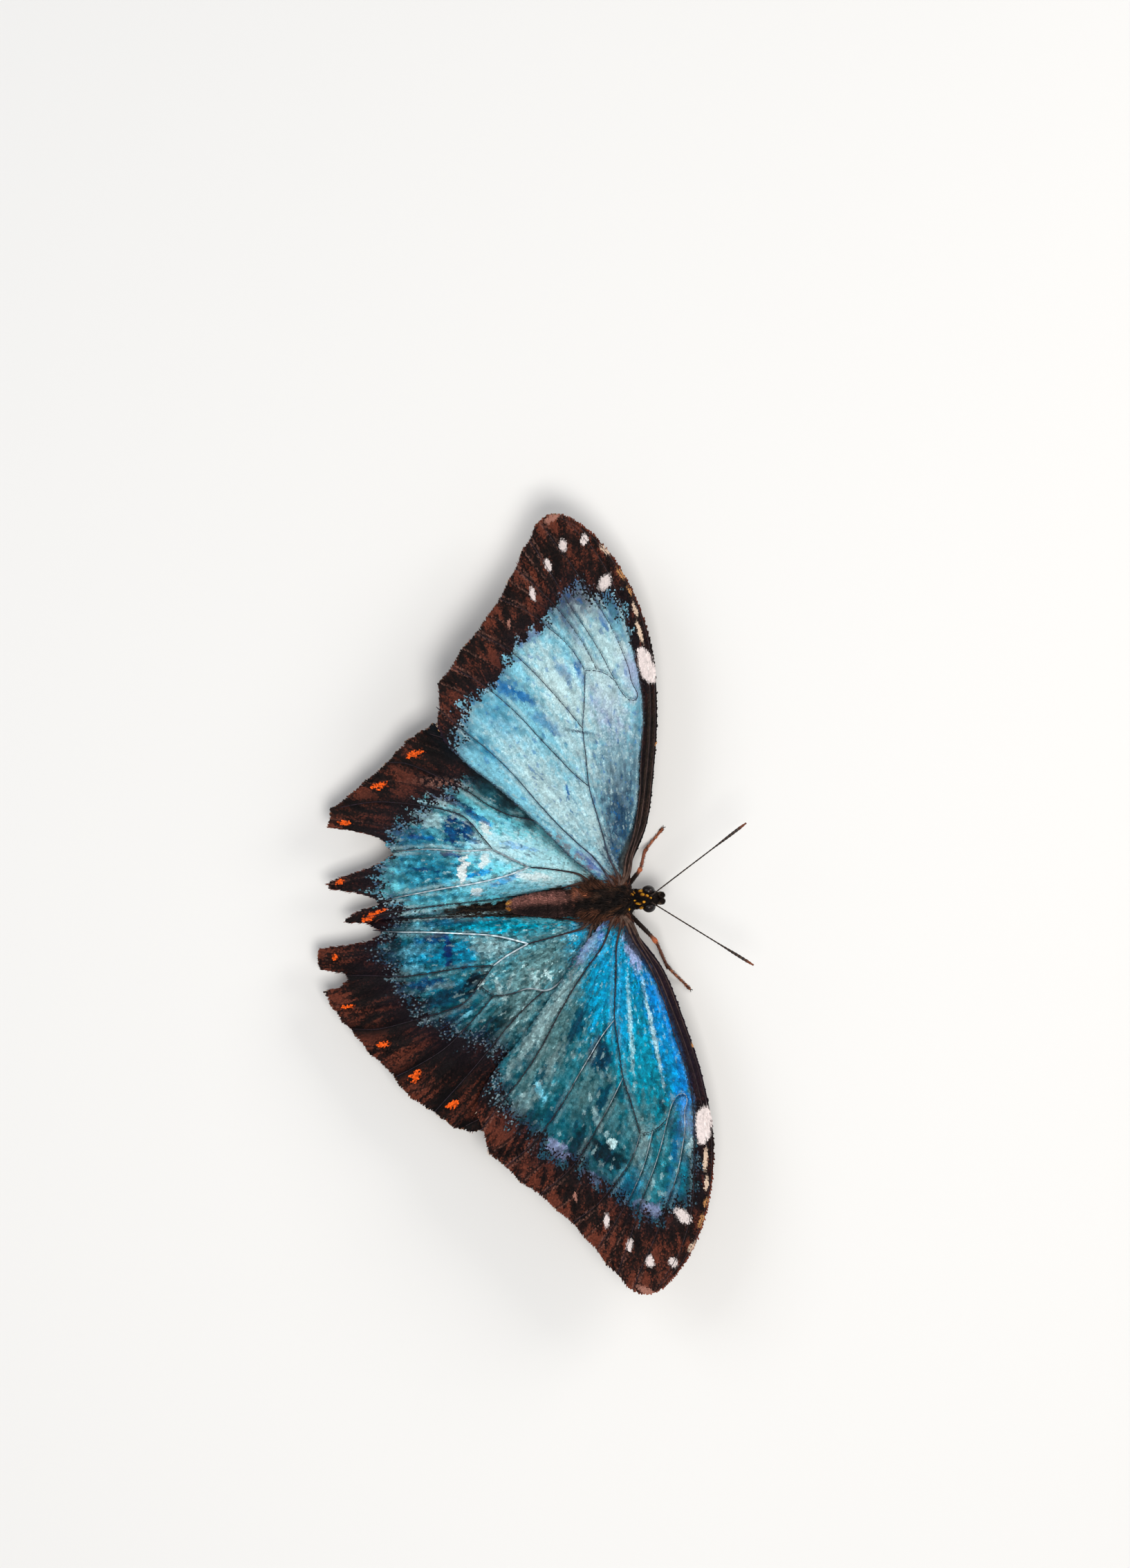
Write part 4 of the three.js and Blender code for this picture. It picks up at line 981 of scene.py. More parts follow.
def upper_colours(wing, own, grain):
    """Colour and gleam of the upper side at each point.

    grain is a random value from 0 to 1 for each scale, or 0.5 all over for the skin below."""
    outline = np.array((FORE_FIELD if wing.fore else HIND_FIELD)[wing.hand])
    ring = smooth_line(np.vstack([outline, outline[:1]]), 4)[:-1]
    depth = depth_inside(own, ring)
    front, tip = np.ones(len(own)), np.zeros(len(own))
    if wing.fore:
        tip = step(own[:, 1], 32, 38) * step(own[:, 0], 14, 20)
        corner = step(-own[:, 0], 5, 9) * step(own[:, 1], 26, 31)
        near = step(5.5 - distance(own, [wing.costa]), 0, 1.5)
        front = 1 - 0.9 * near * (1 - step(own[:, 1], 30, 34))
        fade = (0.8 + 0.9 * corner + 1.3 * tip if wing.left else 1.7 + 0.6 * corner) * front
        depth = depth - (0.5 if wing.left else 0.0) * corner
    else:
        corner, fade = np.full(len(own), 0.6), np.full(len(own), 1.8)
    ray = (0.2 if wing.name == "forewing_left" else 0.4) * streaks(wing, own, 52)
    ragged = depth + (0.4 * mottle(own, 1.6, 51) + ray) * front
    soft = 0.25 if wing.name == "forewing_left" else 0.55
    share = step(ragged + (grain - 0.5) * fade * 1.7, -soft, soft + 0.1)
    blue = field_colours(wing, own, grain)
    edge = bell(depth, fade + 0.3)
    base = np.exp(-((np.linalg.norm(own - wing.root.mean(0), axis=1) / 3.0) ** 4))
    dim = TEXTURE[wing.name][2] * step(4.0 - depth, 0, 4.5) * front
    blue = blue * (1 - dim)[:, None]
    gloom = edge * front * (0.4 + 0.4 * np.maximum(corner, tip) if wing.left else 0.78)
    blue = mix(blue, blue * 0.45 + PLUM * 0.3, gloom)
    tint = step(grain + 0.12 * mottle(own, 2.0, 53), 0.5, 0.8)
    blue = mix(blue, LILAC * (0.6 if wing.left else 0.3), 0.35 * edge * front * tint)
    # Painted glints: a few single scales near the edge of the blue field, most in the forewings' inner
    # corner, turn pale silver.
    blue = mix(blue, SILVER_SHEEN * 0.7, 0.4 * edge * front * corner * step(grain, 0.86, 0.9))
    brown = margin_colours(wing, own, grain)
    dusk = bell(np.minimum(depth, 0), 2.6 if wing.fore else 4.2)
    brown = mix(brown, BARK + 0.25 * PLUM, (0.55 if wing.fore else 0.8) * dusk)
    colour = mix(brown, blue, share)
    lines = distance(own, wing.veins.values())
    # Painted sheen: pale silver along both sides of the veins, strongest on the left wings, which face
    # the lamp.
    vein_sheen = bell(lines - 0.5, 0.3) * share * (0.4 if wing.left else 0.12)
    colour = mix(colour, SILVER_SHEEN, vein_sheen * step(streaks(wing, own, 54), -1.2, 0.6))
    inked = 0.45 if wing.name == "forewing_left" else 0.75
    colour = mix(colour, BARK, inked * bell(lines, 0.2))
    # Painted shade: the blue is darkened along the folds' creases.
    crease = line_mask(own, wing.folds, 0.2) * share
    colour = mix(colour, colour * 0.7 + LILAC * 0.1, 0.5 * crease)
    colour, share = mix(colour, BARK * 1.6, 0.92 * base), share * (1 - base)
    if wing.fore:
        colour, share = forewing_details(wing, own, grain, colour, share)
    else:
        colour, share = hindwing_details(wing, own, grain, colour, share)
    uneven = 0.56 + ((0.3 if wing.left else 0.46) - 0.56) * share
    return colour * COAT_LEVEL * (1 + uneven * (grain - 0.5))[:, None], share


def forewing_details(wing, own, grain, colour, share):
    """The ribbed front edge, white and cream spots, the scarred vein and the bruised base."""
    front = distance(own, [wing.costa])
    band = step(2.5 - front, 0, 0.6) * (1 - step(own[:, 1], 21, 25))
    ribs = 0.6 * bell(front - 1.35, 0.2) + 0.45 * bell(front - 0.55, 0.18)
    dusk = mix(BARK * 1.1, OLIVE, ribs)
    dusk = mix(dusk, PLUM, 0.0 if wing.left else 0.45)
    colour, share = mix(colour, dusk, band * 0.9), share * (1 - band)
    cell = step(1.4 - distance(own, [np.array([[-3.4, 3.0], [-5.6, 10.6]])]), 0, 0.7)
    bruise = cell * step(0.5 * mottle(own, 0.8, 57) + grain, 0.3, 0.9) * (0.6 if wing.left else 0.25)
    colour = mix(colour, BLUSH * 0.4 + PLUM * 0.8, bruise)
    even = ((0.9 + 0.2 * grain) / (0.72 + 0.56 * grain))[:, None]
    for tint, *oval in FORE_SPOTS:
        inside = 1.15 - np.sqrt(ellipse(own, *oval)) + (grain - 0.5) * 0.4
        cover = step(inside, -0.25, 0.35)
        colour, share = mix(colour, tint * even, cover), share * (1 - cover)
    smear = np.exp(-ellipse(own, 20.4, 27.6, 2.6, 1.3, 75)) * share
    colour = mix(colour, HAZE, (0.8 if wing.left else 0.3) * smear)
    window = step(depth_inside(own, np.array(FORE_WINDOW)) + (grain - 0.5) * 0.2, -0.25, 0.2)
    colour, share = mix(colour, WHITE * 1.1 * even, window), share * (1 - window)
    if wing.left:
        scar = np.exp(-ellipse(own, 7.2, 23.2, 2.6, 0.2, -40))
        scar = scar + np.exp(-ellipse(own, 0.9, 25.3, 0.4, 0.25, 0))
        colour = mix(colour, DEEP * 0.5, np.clip(0.9 * scar, 0, 1))
    rim = line_mask(own, [smooth_line(FORE_INNER, 4)], 0.4)
    colour = mix(colour, PLUM * 0.8, (0.9 if wing.left else 0.2) * rim)
    warm = bell(front, 0.25) * step(own[:, 1], 30, 36)
    return mix(colour, RUST, (0.5 if wing.left else 0.8) * warm), share


def hindwing_details(wing, own, grain, colour, share):
    """Orange marks with a dark surround, the painted shadow of the left forewing on the left hindwing,
    the dark wedge behind the body and the hatched patch.
    """
    for c, s, length, width, turn in HIND_SPOTS[wing.hand]:
        reach = ellipse(own, c, s, length, width, turn)
        shift = np.array([0.2, -0.7 if wing.left else 0.28])
        below = np.exp(-ellipse(own - shift, c, s, length, width * 2.2, turn))
        colour = mix(colour, BARK * 0.6, 0.85 * below)
        spot = step(1.25 - np.sqrt(reach) + 0.16 * mottle(own, 0.5, 62) + (grain - 0.5) * 0.9, -0.1, 0.3)
        colour, share = mix(colour, ORANGE * (0.75 + 0.5 * grain)[:, None], spot), share * (1 - spot)
    if wing.left:
        # Painted shadow: along the left forewing's trailing edge the blue turns dark teal, then near
        # black, where the forewing above shades the hindwing; some of the dark is the wing's own scales.
        edge = distance(own, [WINGS[0].to_plan(smooth_line(FORE_INNER, 4))]) + 0.3 * mottle(own, 1.8, 65)
        wide = 0.9 + 1.7 * step(-own[:, 0], 9, 19)
        colour = mix(colour, SEA * 0.8, 0.75 * share * bell(edge, wide))
        shade = bell(edge, 0.4 + 0.4 * wide) * step(-own[:, 0], 8, 16)
        colour = mix(colour, INK * 0.8, 0.9 * shade)
        hatch = step(grain + 0.3 * mottle(own, 0.6, 63), 0.35, 0.8)
        hatch = hatch * np.exp(-ellipse(own, -27.4, 20.6, 3.4, 0.7, 172))
        colour = mix(colour, BLUSH * 0.9, 0.7 * hatch)
    x, y = own.T
    reach = (1.0 if wing.left else 1.15) + 0.2 * mottle(own, 0.9, 61) - 0.06 * (-x - 18)
    wedge = step(reach - y, -0.25, 0.3) * step(-x, 15.0, 17.5) * (1 - step(-x, 25, 31))
    streak = np.sin(y * 9 + mottle(own, 2.5, 64))
    bare = mix(BARK, OLIVE, 0.6 * step(streak, 0.0, 1.0))
    colour = mix(colour, bare, wedge)
    inner = line_mask(own, [smooth_line(HIND_INNER[wing.hand], 3)], 0.3) * step(-x, 26, 30)
    return mix(colour, PLUM, 0.7 * inner), share * (1 - wedge)


# %% [markdown]
# ## Markings of the underside
#
# Few people see a morpho's underside, because the animal shows it only with its wings shut. It is
# plain brown with wavy paler bands and a row of eyespots: a dark disc with a small white-blue pupil
# in a straw-coloured ring. The still model keeps them, though it rests flat.

# %% Painting the underside
EYESPOTS = {
    "forewing": [((14.4, 41.0), 1.7), ((10.0, 39.4), 1.4), ((1.6, 35.6), 2.5)],
    "hindwing": [((-17.5, 20.6), 2.8), ((-30.0, 16.2), 1.9), ((-32.0, 12.0), 2.1), ((-33.0, 6.4), 2.5)],
}


def under_colours(wing, own, grain):
    """Brown ground with bands that follow the margin, then the eyespots ring by ring."""
    from_margin = distance(own, [wing.margin]) + 0.25 * mottle(own, 2.0, 71)
    brown = mix(paint(94, 66, 46), paint(132, 104, 76),
                step(mottle(own, 3.4, 72) + grain - 0.5, -0.4, 1.4))
    for reach, width, tint, strength in (
        (1.1, 0.35, paint(176, 126, 76), 0.8), (2.6, 0.4, paint(196, 166, 120), 0.6),
        (12.5, 0.8, paint(150, 132, 108), 0.7), (20.0, 0.9, paint(158, 140, 112), 0.6),
    ):
        brown = mix(brown, tint, strength * bell(from_margin - reach, width))
    for middle, radius in EYESPOTS[wing.kind]:
        r = np.linalg.norm(own - np.array(middle), axis=1) / radius + (grain - 0.5) * 0.08
        rings = ((1.55, paint(58, 38, 28)), (1.25, paint(190, 150, 78)), (0.95, paint(22, 15, 14)),
                 (0.45, paint(92, 44, 34)), (0.22, paint(206, 220, 230)))
        for size, tint in rings:
            brown = mix(brown, tint, step(size - r, -0.05, 0.05))
    lines = distance(own, wing.veins.values())
    brown = mix(brown, paint(60, 42, 30), 0.6 * bell(lines, 0.3))
    return brown * (0.8 + 0.4 * grain)[:, None]


# %% [markdown]
# ## The wing membranes
#
# A membrane is a ruled fan: straight lines run from a short root inside the shoulder to every point
# of the rim. Rows are spaced closer near the rim, where the markings are fine, and where a line
# would cut a corner of the outline its points are pulled back to the edge. The upper and lower
# sheets close on each other round the whole edge, so the piece is a real thin solid.

# %% Build the four membranes
ROWS = 56


def membrane(wing):
    """Upper and lower sheets: own = root + (rim - root) * out, set half a thickness apart."""
    columns = len(wing.rim)
    share = np.linspace(0, 1, columns)[:, None]
    roots = wing.root[0] + (wing.root[1] - wing.root[0]) * share
    out = (1 - (1 - np.linspace(0, 1, ROWS)) ** 1.25)[:, None, None]
    own = roots[None] + (wing.rim - roots)[None] * out
    own = pulled_in(own.reshape(-1, 2), wing.outline).reshape(own.shape)
    relief = wing.relief(own)
    thin = WING_HALF * np.sqrt(np.clip(1.04 - out[..., 0] ** 12, 0.04, 1))
    top = wing.place(own, relief, thin).reshape(-1, 3)
    bottom = wing.place(own, relief, -thin).reshape(-1, 3)
    sheet = grid_faces(ROWS, columns)
    count = ROWS * columns
    index = np.arange(count).reshape(ROWS, columns)
    border = np.concatenate([index[0], index[1:, -1], index[-1, -2::-1], index[-2:0:-1, 0]])
    after = np.roll(border, -1)
    wall = np.stack([border, border + count, after + count, after], axis=1)
    faces = [sheet[:, ::-1], sheet + count, wall]
    flat = own.reshape(-1, 2)
    if wing.side < 0:
        faces = [f[:, ::-1] for f in faces]
    even = np.full(count, 0.5)
    upper, gleam = upper_colours(wing, flat, even)
    shade = np.vstack([upper * SHEET_LEVEL, under_colours(wing, flat, even)])
    return np.vstack([top, bottom]), faces, shade, np.concatenate([gleam, np.zeros(count)])


for wing in WINGS:
    points, faces, shade, gleam = membrane(wing)
    add_piece(f"{wing.name}_membrane", points, faces, shade, WING_SKIN, gleam,
              stands_for=[wing.name])

# %% [markdown]
# ## Veins
#
# Veins are hollow struts. Near the root they are as thick as a pin, and they thin out towards the
# margin. Each is an oval tube through the membrane, so it stands up on both sides. Most are dark
# purple-brown. Some, above all on the right side, are painted pale near the body: a painted glint of
# light along the vein.

# %% Build the veins of each wing
VEIN_DARK = paint(34, 22, 32)
VEIN_GLINT = paint(196, 214, 222)
VEIN_TAN = paint(74, 54, 42)
# Veins with a painted glint of light along them, the distances from the hinge between which they turn
# dark, and how strong the glint is.
GLINTING_VEINS = {
    "hindwing_left": {"second cubital": (28, 38, 0.75), "first cubital": (26, 38, 0.6),
                      "cubitus": (20, 26, 0.4)},
    "hindwing_right": {"second cubital": (30, 38, 1.0), "cubitus": (22, 26, 0.8),
                       "cell end": (17, 20, 0.6)},
    "forewing_right": {"second cubital": (24, 34, 0.6), "first cubital": (30, 36, 0.5),
                       "third median": (35, 42, 0.4), "second median": (42, 48, 0.45),
                       "first median": (42, 48, 0.45)},
}
RIBS = ("costa", "subcosta", "radius")


def vein_tubes(wing):
    """One oval tube for each vein: radius = 0.08 + 0.1 exp(-reach / 14) + a stout foot at the body."""
    parts = []
    for label, line in wing.veins.items():
        own = even_line(line, 0.45)
        reach = np.linalg.norm(own - wing.hinge, axis=1)
        foot = bell(np.linalg.norm(own - wing.root.mean(0), axis=1), 4.0)
        radius = 0.08 + 0.1 * np.exp(-reach / 14) + 0.16 * foot
        if not wing.fore and label in GLINTING_VEINS.get(wing.name, {}):
            radius = radius + 0.05 * (1 - step(reach, *GLINTING_VEINS[wing.name][label][:2]))
        radius[0] = radius[-1] = 0.05
        path = wing.place(own, wing.relief(own) + 0.02)
        points, faces, station = tube(path, radius, radius + 0.12, sides=8)
        tint = np.broadcast_to(VEIN_DARK, (len(own), 3))
        if label in RIBS:
            tint = mix(tint, VEIN_TAN, 0.5 - 0.35 * step(reach, 18, 30))
        if label in GLINTING_VEINS.get(wing.name, {}):
            near, far, strength = GLINTING_VEINS[wing.name][label]
            tint = mix(tint, VEIN_GLINT, strength * (1 - step(reach, near, far)) * (1 - foot) ** 3)
        tint = mix(tint, VEIN_TAN, 0.8 * np.clip(foot * 1.4, 0, 1))
        if wing.fore:
            tint = mix(tint, WHITE, step(depth_inside(own, np.array(FORE_WINDOW)), -0.1, 0.2))
            if wing.left:
                field = step(depth_inside(own, np.array(FORE_FIELD["left"])), 0, 4)
                tint = mix(tint, DUSK, 0.4 * field)
        below = step(path[station, 2] - points[:, 2], 0.0, 0.06)
        tint = mix(tint[station], paint(60, 42, 30), below)
        shade = tint * (1 + 0.3 * mottle(own, 0.5, 81)[station])[:, None]
        parts.append((points, faces, np.clip(shade, 0.004, 1)))
    return gather(parts)


for wing in WINGS:
    points, faces, shade = vein_tubes(wing)
    add_piece(f"{wing.name}_veins", points, faces, shade, VEIN)

# %% [markdown]
# ## The coat of scales
#
# A real scale is a tenth of a millimetre long, and one wing has a hundred thousand. The model's are
# about half a millimetre long above and longer below, and there are still tens of thousands: each
# is a thin closed paddle of eight triangles with its narrow end at the root and its free end a
# little raised. They stand in staggered rows, and each takes one colour from the markings at its
# root, which gives the grainy edge between blue and brown for free.

# %% One scale, and many copies of a small shape
PADDLE = np.array([[0, 0, 0], [0.5, -0.5, 0], [1, -0.34, 0], [1, 0.34, 0], [0.5, 0.5, 0], [0.62, 0, 1]])
PADDLE_FACES = np.array([[0, 1, 5], [1, 2, 5], [2, 3, 5], [3, 4, 5], [4, 0, 5], [0, 2, 1], [0, 3, 2],
                         [0, 4, 3]])
SCALE_HEIGHT = 0.016                         # thickness of a scale at its keel
PATCH = 0.003                                # width of a scale's or tuft's patch on the OFBake map


def copies(shape, shape_faces, roots, axes, size):
    """Points = root + the sum over axes of shape * size * axis, for every copy at once."""
    points = roots[:, None, :] + np.einsum("kj,nj,njd->nkd", shape, size, axes)
    faces = shape_faces[None] + (np.arange(len(roots)) * len(shape))[:, None, None]
    return points.reshape(-1, 3), faces.reshape(-1, 3)


def patches_at(spots, shape):
    """OFBake values: the root's place on the map plus the point's place in its own small patch."""
    local = (shape[:, :2] - shape[:, :2].mean(0)) / np.ptp(shape[:, :2], axis=0).max() * PATCH
    return (spots[:, None, :] + local[None]).reshape(-1, 2)


def staggered(wing, pitch, seed, inset):
    """Rows of points in own axes, every second row shifted by half a step, a little disturbed.

    Points nearer to the edge than inset millimetres are dropped."""
    low, high = wing.rim.min(0), wing.rim.max(0)
    c = np.arange(low[0], high[0], pitch)
    s = np.arange(low[1], high[1], pitch * 0.9)
    own = np.stack(np.meshgrid(c, s), axis=-1)
    own[1::2, :, 0] += pitch / 2
    rng = np.random.default_rng(seed)
    own = own.reshape(-1, 2) + rng.normal(0, pitch * 0.16, (own.size // 2, 2))
    grain = rng.uniform(0, 1, len(own))
    keep = depth_inside(own, wing.outline) > inset
    return own[keep], grain[keep]


def scale_coat(wing, pitch, seed, beneath=False):
    """All the scales of one face of a wing."""
    own, grain = staggered(wing, pitch, seed, 0.36 if beneath else 0.065)
    here, axes = wing.axes(own, beneath)
    rng = np.random.default_rng(seed + 1)
    tilt = rng.uniform(0.1, 0.24, len(own))[:, None]
    twist = rng.normal(0, 0.14, len(own))[:, None]
    along, across, up = axes[:, 0], axes[:, 1], axes[:, 2]
    along = unit(along + tilt * up + twist * across)
    across = unit(np.cross(up, along))
    axes = np.stack([along, across, np.cross(along, across)], axis=1)
    length = pitch * rng.uniform(1.6, 2.1, len(own))
    width = pitch * rng.uniform(1.05, 1.3, len(own))
    size = np.stack([length, width, np.full(len(own), SCALE_HEIGHT)], axis=1)
    points, faces = copies(PADDLE, PADDLE_FACES, here + up * (WING_HALF - 0.01), axes, size)
    if beneath:
        colour, gleam = under_colours(wing, own, grain), np.zeros(len(own))
    else:
        colour, gleam = upper_colours(wing, own, grain)
    each = len(PADDLE)
    return (points, faces, np.repeat(colour, each, axis=0), np.repeat(gleam, each),
            patches_at(wing.spots(own), PADDLE))


UPPER_PITCH = 0.26
UNDER_PITCH = 0.42

for number, wing in enumerate(WINGS):
    points, faces, shade, gleam, patch = scale_coat(wing, UPPER_PITCH, 200 + number)
    add_piece(f"{wing.name}_scales_above", points, faces, shade, SCALES, gleam, patch,
              smooth=False)
    points, faces, shade, gleam, patch = scale_coat(wing, UNDER_PITCH, 300 + number, beneath=True)
    add_piece(f"{wing.name}_scales_below", points, faces, shade, UNDER_SCALES, gleam,
              patch, smooth=False)

# %% [markdown]
# ## Locks of hair
#
# Hair on an insect is stiff and lies back along the body. Each lock is a closed spike with a
# three-cornered section, bent over half way: its foot is under the skin, its middle stands off and
# its outer half runs on nearly flat. One function makes any number of them at once.

# %% Locks from their roots
LOCK_FACES = np.array([[0, 2, 1], [0, 1, 4], [0, 4, 3], [1, 2, 5], [1, 5, 4], [2, 0, 3], [2, 3, 5],
                       [3, 4, 6], [4, 5, 6], [5, 3, 6]])
LOCK_PATCH = np.array([[-0.5, -0.3], [0.5, -0.3], [0, -0.1], [-0.35, 0.1], [0.35, 0.1], [0, 0.2],
                       [0, 0.5]])


def locks(roots, along, up, length, width, stand):
    """Seven points each: three round the foot, three round the bend and one tip.

    The bend is at root + L (0.5 along + 0.36 stand up), the tip at root + L (along + 0.42 stand up)."""
    along = unit(along)
    across = unit(np.cross(up, along))
    length, width, stand = (np.broadcast_to(v, len(roots))[:, None] for v in (length, width, stand))
    foot = roots - 0.06 * up
    bend = roots + length * (0.5 * along + 0.36 * stand * up)
    tip = roots + length * (along + 0.42 * stand * up)
    corners = [(-0.87, -0.5), (0.87, -0.5), (0.0, 1.0)]
    rings = [middle + width * size * (a * across + b * up)
             for middle, size in ((foot, 0.75), (bend, 1.0)) for a, b in corners]
    points = np.stack([*rings, tip], axis=1).reshape(-1, 3)
    faces = LOCK_FACES[None] + (np.arange(len(roots)) * 7)[:, None, None]
    return points, faces.reshape(-1, 3)


def add_locks(name, roots, along, up, length, width, stand, colour, spots, slot="fur", tip=1.35):
    """Locks as a coat piece. A lock is darker at its foot, and tip times as bright at its end."""
    points, faces = locks(roots, along, up, length, width, stand)
    ramp = np.array([0.6, 0.6, 0.6, 1.0, 1.0, 1.0, tip])
    shade = (colour[:, None, :] * ramp[None, :, None]).reshape(-1, 3)
    patch = (spots[:, None, :] + LOCK_PATCH[None] * PATCH).reshape(-1, 2)
    return add_piece(name, points, faces, shade, HAIR, patch=patch)


# %% [markdown]
# ## Fringe and wing-base hair
#
# The outer margin carries a fringe of long narrow scales, dark at the veins and white in the nicks
# between them. The inner edge of each hindwing and the root of every wing are covered by soft hair,
# rusty brown at the shoulder.

# %% Fringe along the margin and hair at the wing bases
def fringe(wing, seed):
    """Long scales at every 0.16 mm of the margin, pointing out along the flow."""
    rng = np.random.default_rng(seed)
    line = even_line(wing.margin, 0.16)
    line = line + rng.normal(0, 0.04, line.shape)
    own = line - wing.flow(line) * 0.25
    here, axes = wing.axes(own)
    to_nick = np.linalg.norm(line[:, None] - wing.nicks[None, 1:], axis=2).min(1)
    share = 0.95 if not wing.fore else 0.8
    white = step(0.55 - to_nick + rng.normal(0, 0.15, len(line)), 0, 0.2) * share
    colour = mix(mix(EARTH, RUST, rng.uniform(0, 0.8, len(line))), CREAM * 0.85, white)
    along = unit(axes[:, 0] + axes[:, 1] * rng.normal(0, 0.2, (len(line), 1)))
    return (here, along, axes[:, 2], rng.uniform(0.5, 0.85, len(line)), 0.07, 0.1, colour,
            wing.spots(own))


for number, wing in enumerate(WINGS):
    add_locks(f"{wing.name}_fringe", *fringe(wing, 400 + number), "wing_scales")


def base_hair(wing, count, reach, seed):
    """Hair at a wing's root: its thickness fades with the distance from the hinge."""
    rng = np.random.default_rng(seed)
    shoulder = wing.root.mean(0)
    away = np.abs(rng.normal(0, reach, (count * 6, 1)))
    own = shoulder + away * unit(rng.normal(0, 1, (count * 6, 2)))
    keep = depth_inside(own, wing.outline) > 0.1
    own = own[keep][:count]
    here, axes = wing.axes(own)
    tint = mix(BARK * 1.8, paint(124, 78, 58), rng.uniform(0, 1, len(own)) ** 1.2)
    length = rng.uniform(0.5, 1.2, len(own))
    along = axes[:, 0] + rng.normal(0, 0.2, (len(own), 3))
    return here + axes[:, 2] * WING_HALF, along, axes[:, 2], length, 0.04, 0.3, tint, wing.spots(own)


for number, wing in enumerate(WINGS):
    add_locks(f"{wing.name}_base_hair", *base_hair(wing, 1400, 1.2, 500 + number))


def inner_hair(wing, count, seed):
    """Long hair that lies backwards along a hindwing's inner edge, under and behind the abdomen."""
    rng = np.random.default_rng(seed)
    line = even_line(smooth_line(HIND_INNER[wing.hand], 6), 0.1)
    line = line[(line[:, 0] > -27) & (line[:, 0] < -8)]
    own = line[rng.integers(0, len(line), count)] + [0, 0.12] + rng.uniform(0, 0.8, (count, 1)) * [0, 1]
    here, axes = wing.axes(own)
    tint = mix(BARK * 1.3, OLIVE, rng.uniform(0, 1, count) ** 2)
    back = np.array([-1.0, 0.0, 0.0]) + rng.normal(0, 0.12, (count, 3))
    length = rng.uniform(1.0, 2.0, count)
    return here + axes[:, 2] * WING_HALF, back, axes[:, 2], length, 0.04, 0.25, tint, wing.spots(own)


for number, wing in enumerate(WINGS[2:]):
    add_locks(f"{wing.name}_inner_hair", *inner_hair(wing, 700, 520 + number))

# %% [markdown]
# ## The trunk
#
# Head, thorax and abdomen become one skin, so that no seam shows at the neck or waist. It is a
# profile carried along the body: at each x the section is an oval with its own height and width.
# The abdomen has a shallow groove between its rings, and the head sinks to a socket behind each
# eye.

# %% The body's profile and surface
# x, height of the middle, half height, half width
BODY_LINE = [
    [-17.8, 6.6, 0.2, 0.22], [-17.5, 6.64, 0.62, 0.66], [-16.8, 6.74, 0.98, 1.02],
    [-15.2, 6.98, 1.36, 1.4], [-12.5, 7.28, 1.78, 1.82], [-9, 7.47, 2, 2.04],
    [-6.4, 7.5, 1.9, 1.92], [-5.1, 7.55, 1.62, 1.6], [-4.3, 7.68, 1.66, 1.66],
    [-3.2, 7.9, 2, 2.02], [-1.6, 8.02, 2.28, 2.26], [0.2, 8.04, 2.34, 2.32],
    [1.5, 7.98, 2.12, 2.12], [2.5, 7.88, 1.55, 1.58], [3.1, 7.82, 1.02, 1.08], [3.6, 7.82, 1.1, 1.2],
    [4.3, 7.96, 1.42, 1.5], [5.1, 8, 1.52, 1.56], [5.9, 7.8, 1.22, 1.24], [6.4, 7.56, 0.8, 0.84],
    [6.7, 7.42, 0.28, 0.3],
]
RING_EDGES = np.array([-16.7, -15.5, -14.1, -12.6, -11, -9.4, -7.8, -6.3])
BODY_CURVE = smooth_line(BODY_LINE, 8)
BODY_ENDS = BODY_CURVE[0, 0], BODY_CURVE[-1, 0]


def body_surface(x, angle, above=0.0):
    """A point of the skin: (x, half width * cos, middle + half height * sin), less the grooves.

    Where the eye covers the head in side view, the skin stays behind the eyeball."""
    order = np.argsort(BODY_CURVE[:, 0])
    middle, tall, wide = (np.interp(x, BODY_CURVE[order, 0], BODY_CURVE[order, k]) for k in (1, 2, 3))
    groove = bell(x[..., None] - RING_EDGES, 0.17).sum(-1)
    size = 1 - 0.06 * groove
    y = (wide * size + above) * np.cos(angle)
    z = middle + (tall * size + above) * np.sin(angle)
    reach, lift = (x - EYE[0]) / (EYE_RADII[0] * 1.05), (z - EYE[2]) / (EYE_RADII[2] * 1.05)
    inside = 1 - reach**2 - lift**2
    behind = EYE[1] - EYE_RADII[1] * np.sqrt(np.maximum(inside, 0)) + 0.1
    sunk = np.sign(y) * np.minimum(np.abs(y), behind)
    return np.stack([x, np.where(inside > 0, sunk, y), z], axis=-1)


def body_axes(x, angle):
    """Backwards, across and outwards at points of the skin, from small steps over it."""
    eps = 0.03
    here = body_surface(x, angle)
    back = unit(body_surface(x - eps, angle) - here)
    round_ = unit(body_surface(x, angle + eps) - here)
    out = unit(np.cross(round_, back))
    return here, back, out * np.sign(np.einsum("ij,ij->i", out, np.stack(
        [np.zeros(len(x)), np.cos(angle), np.sin(angle)], axis=1)))[:, None]


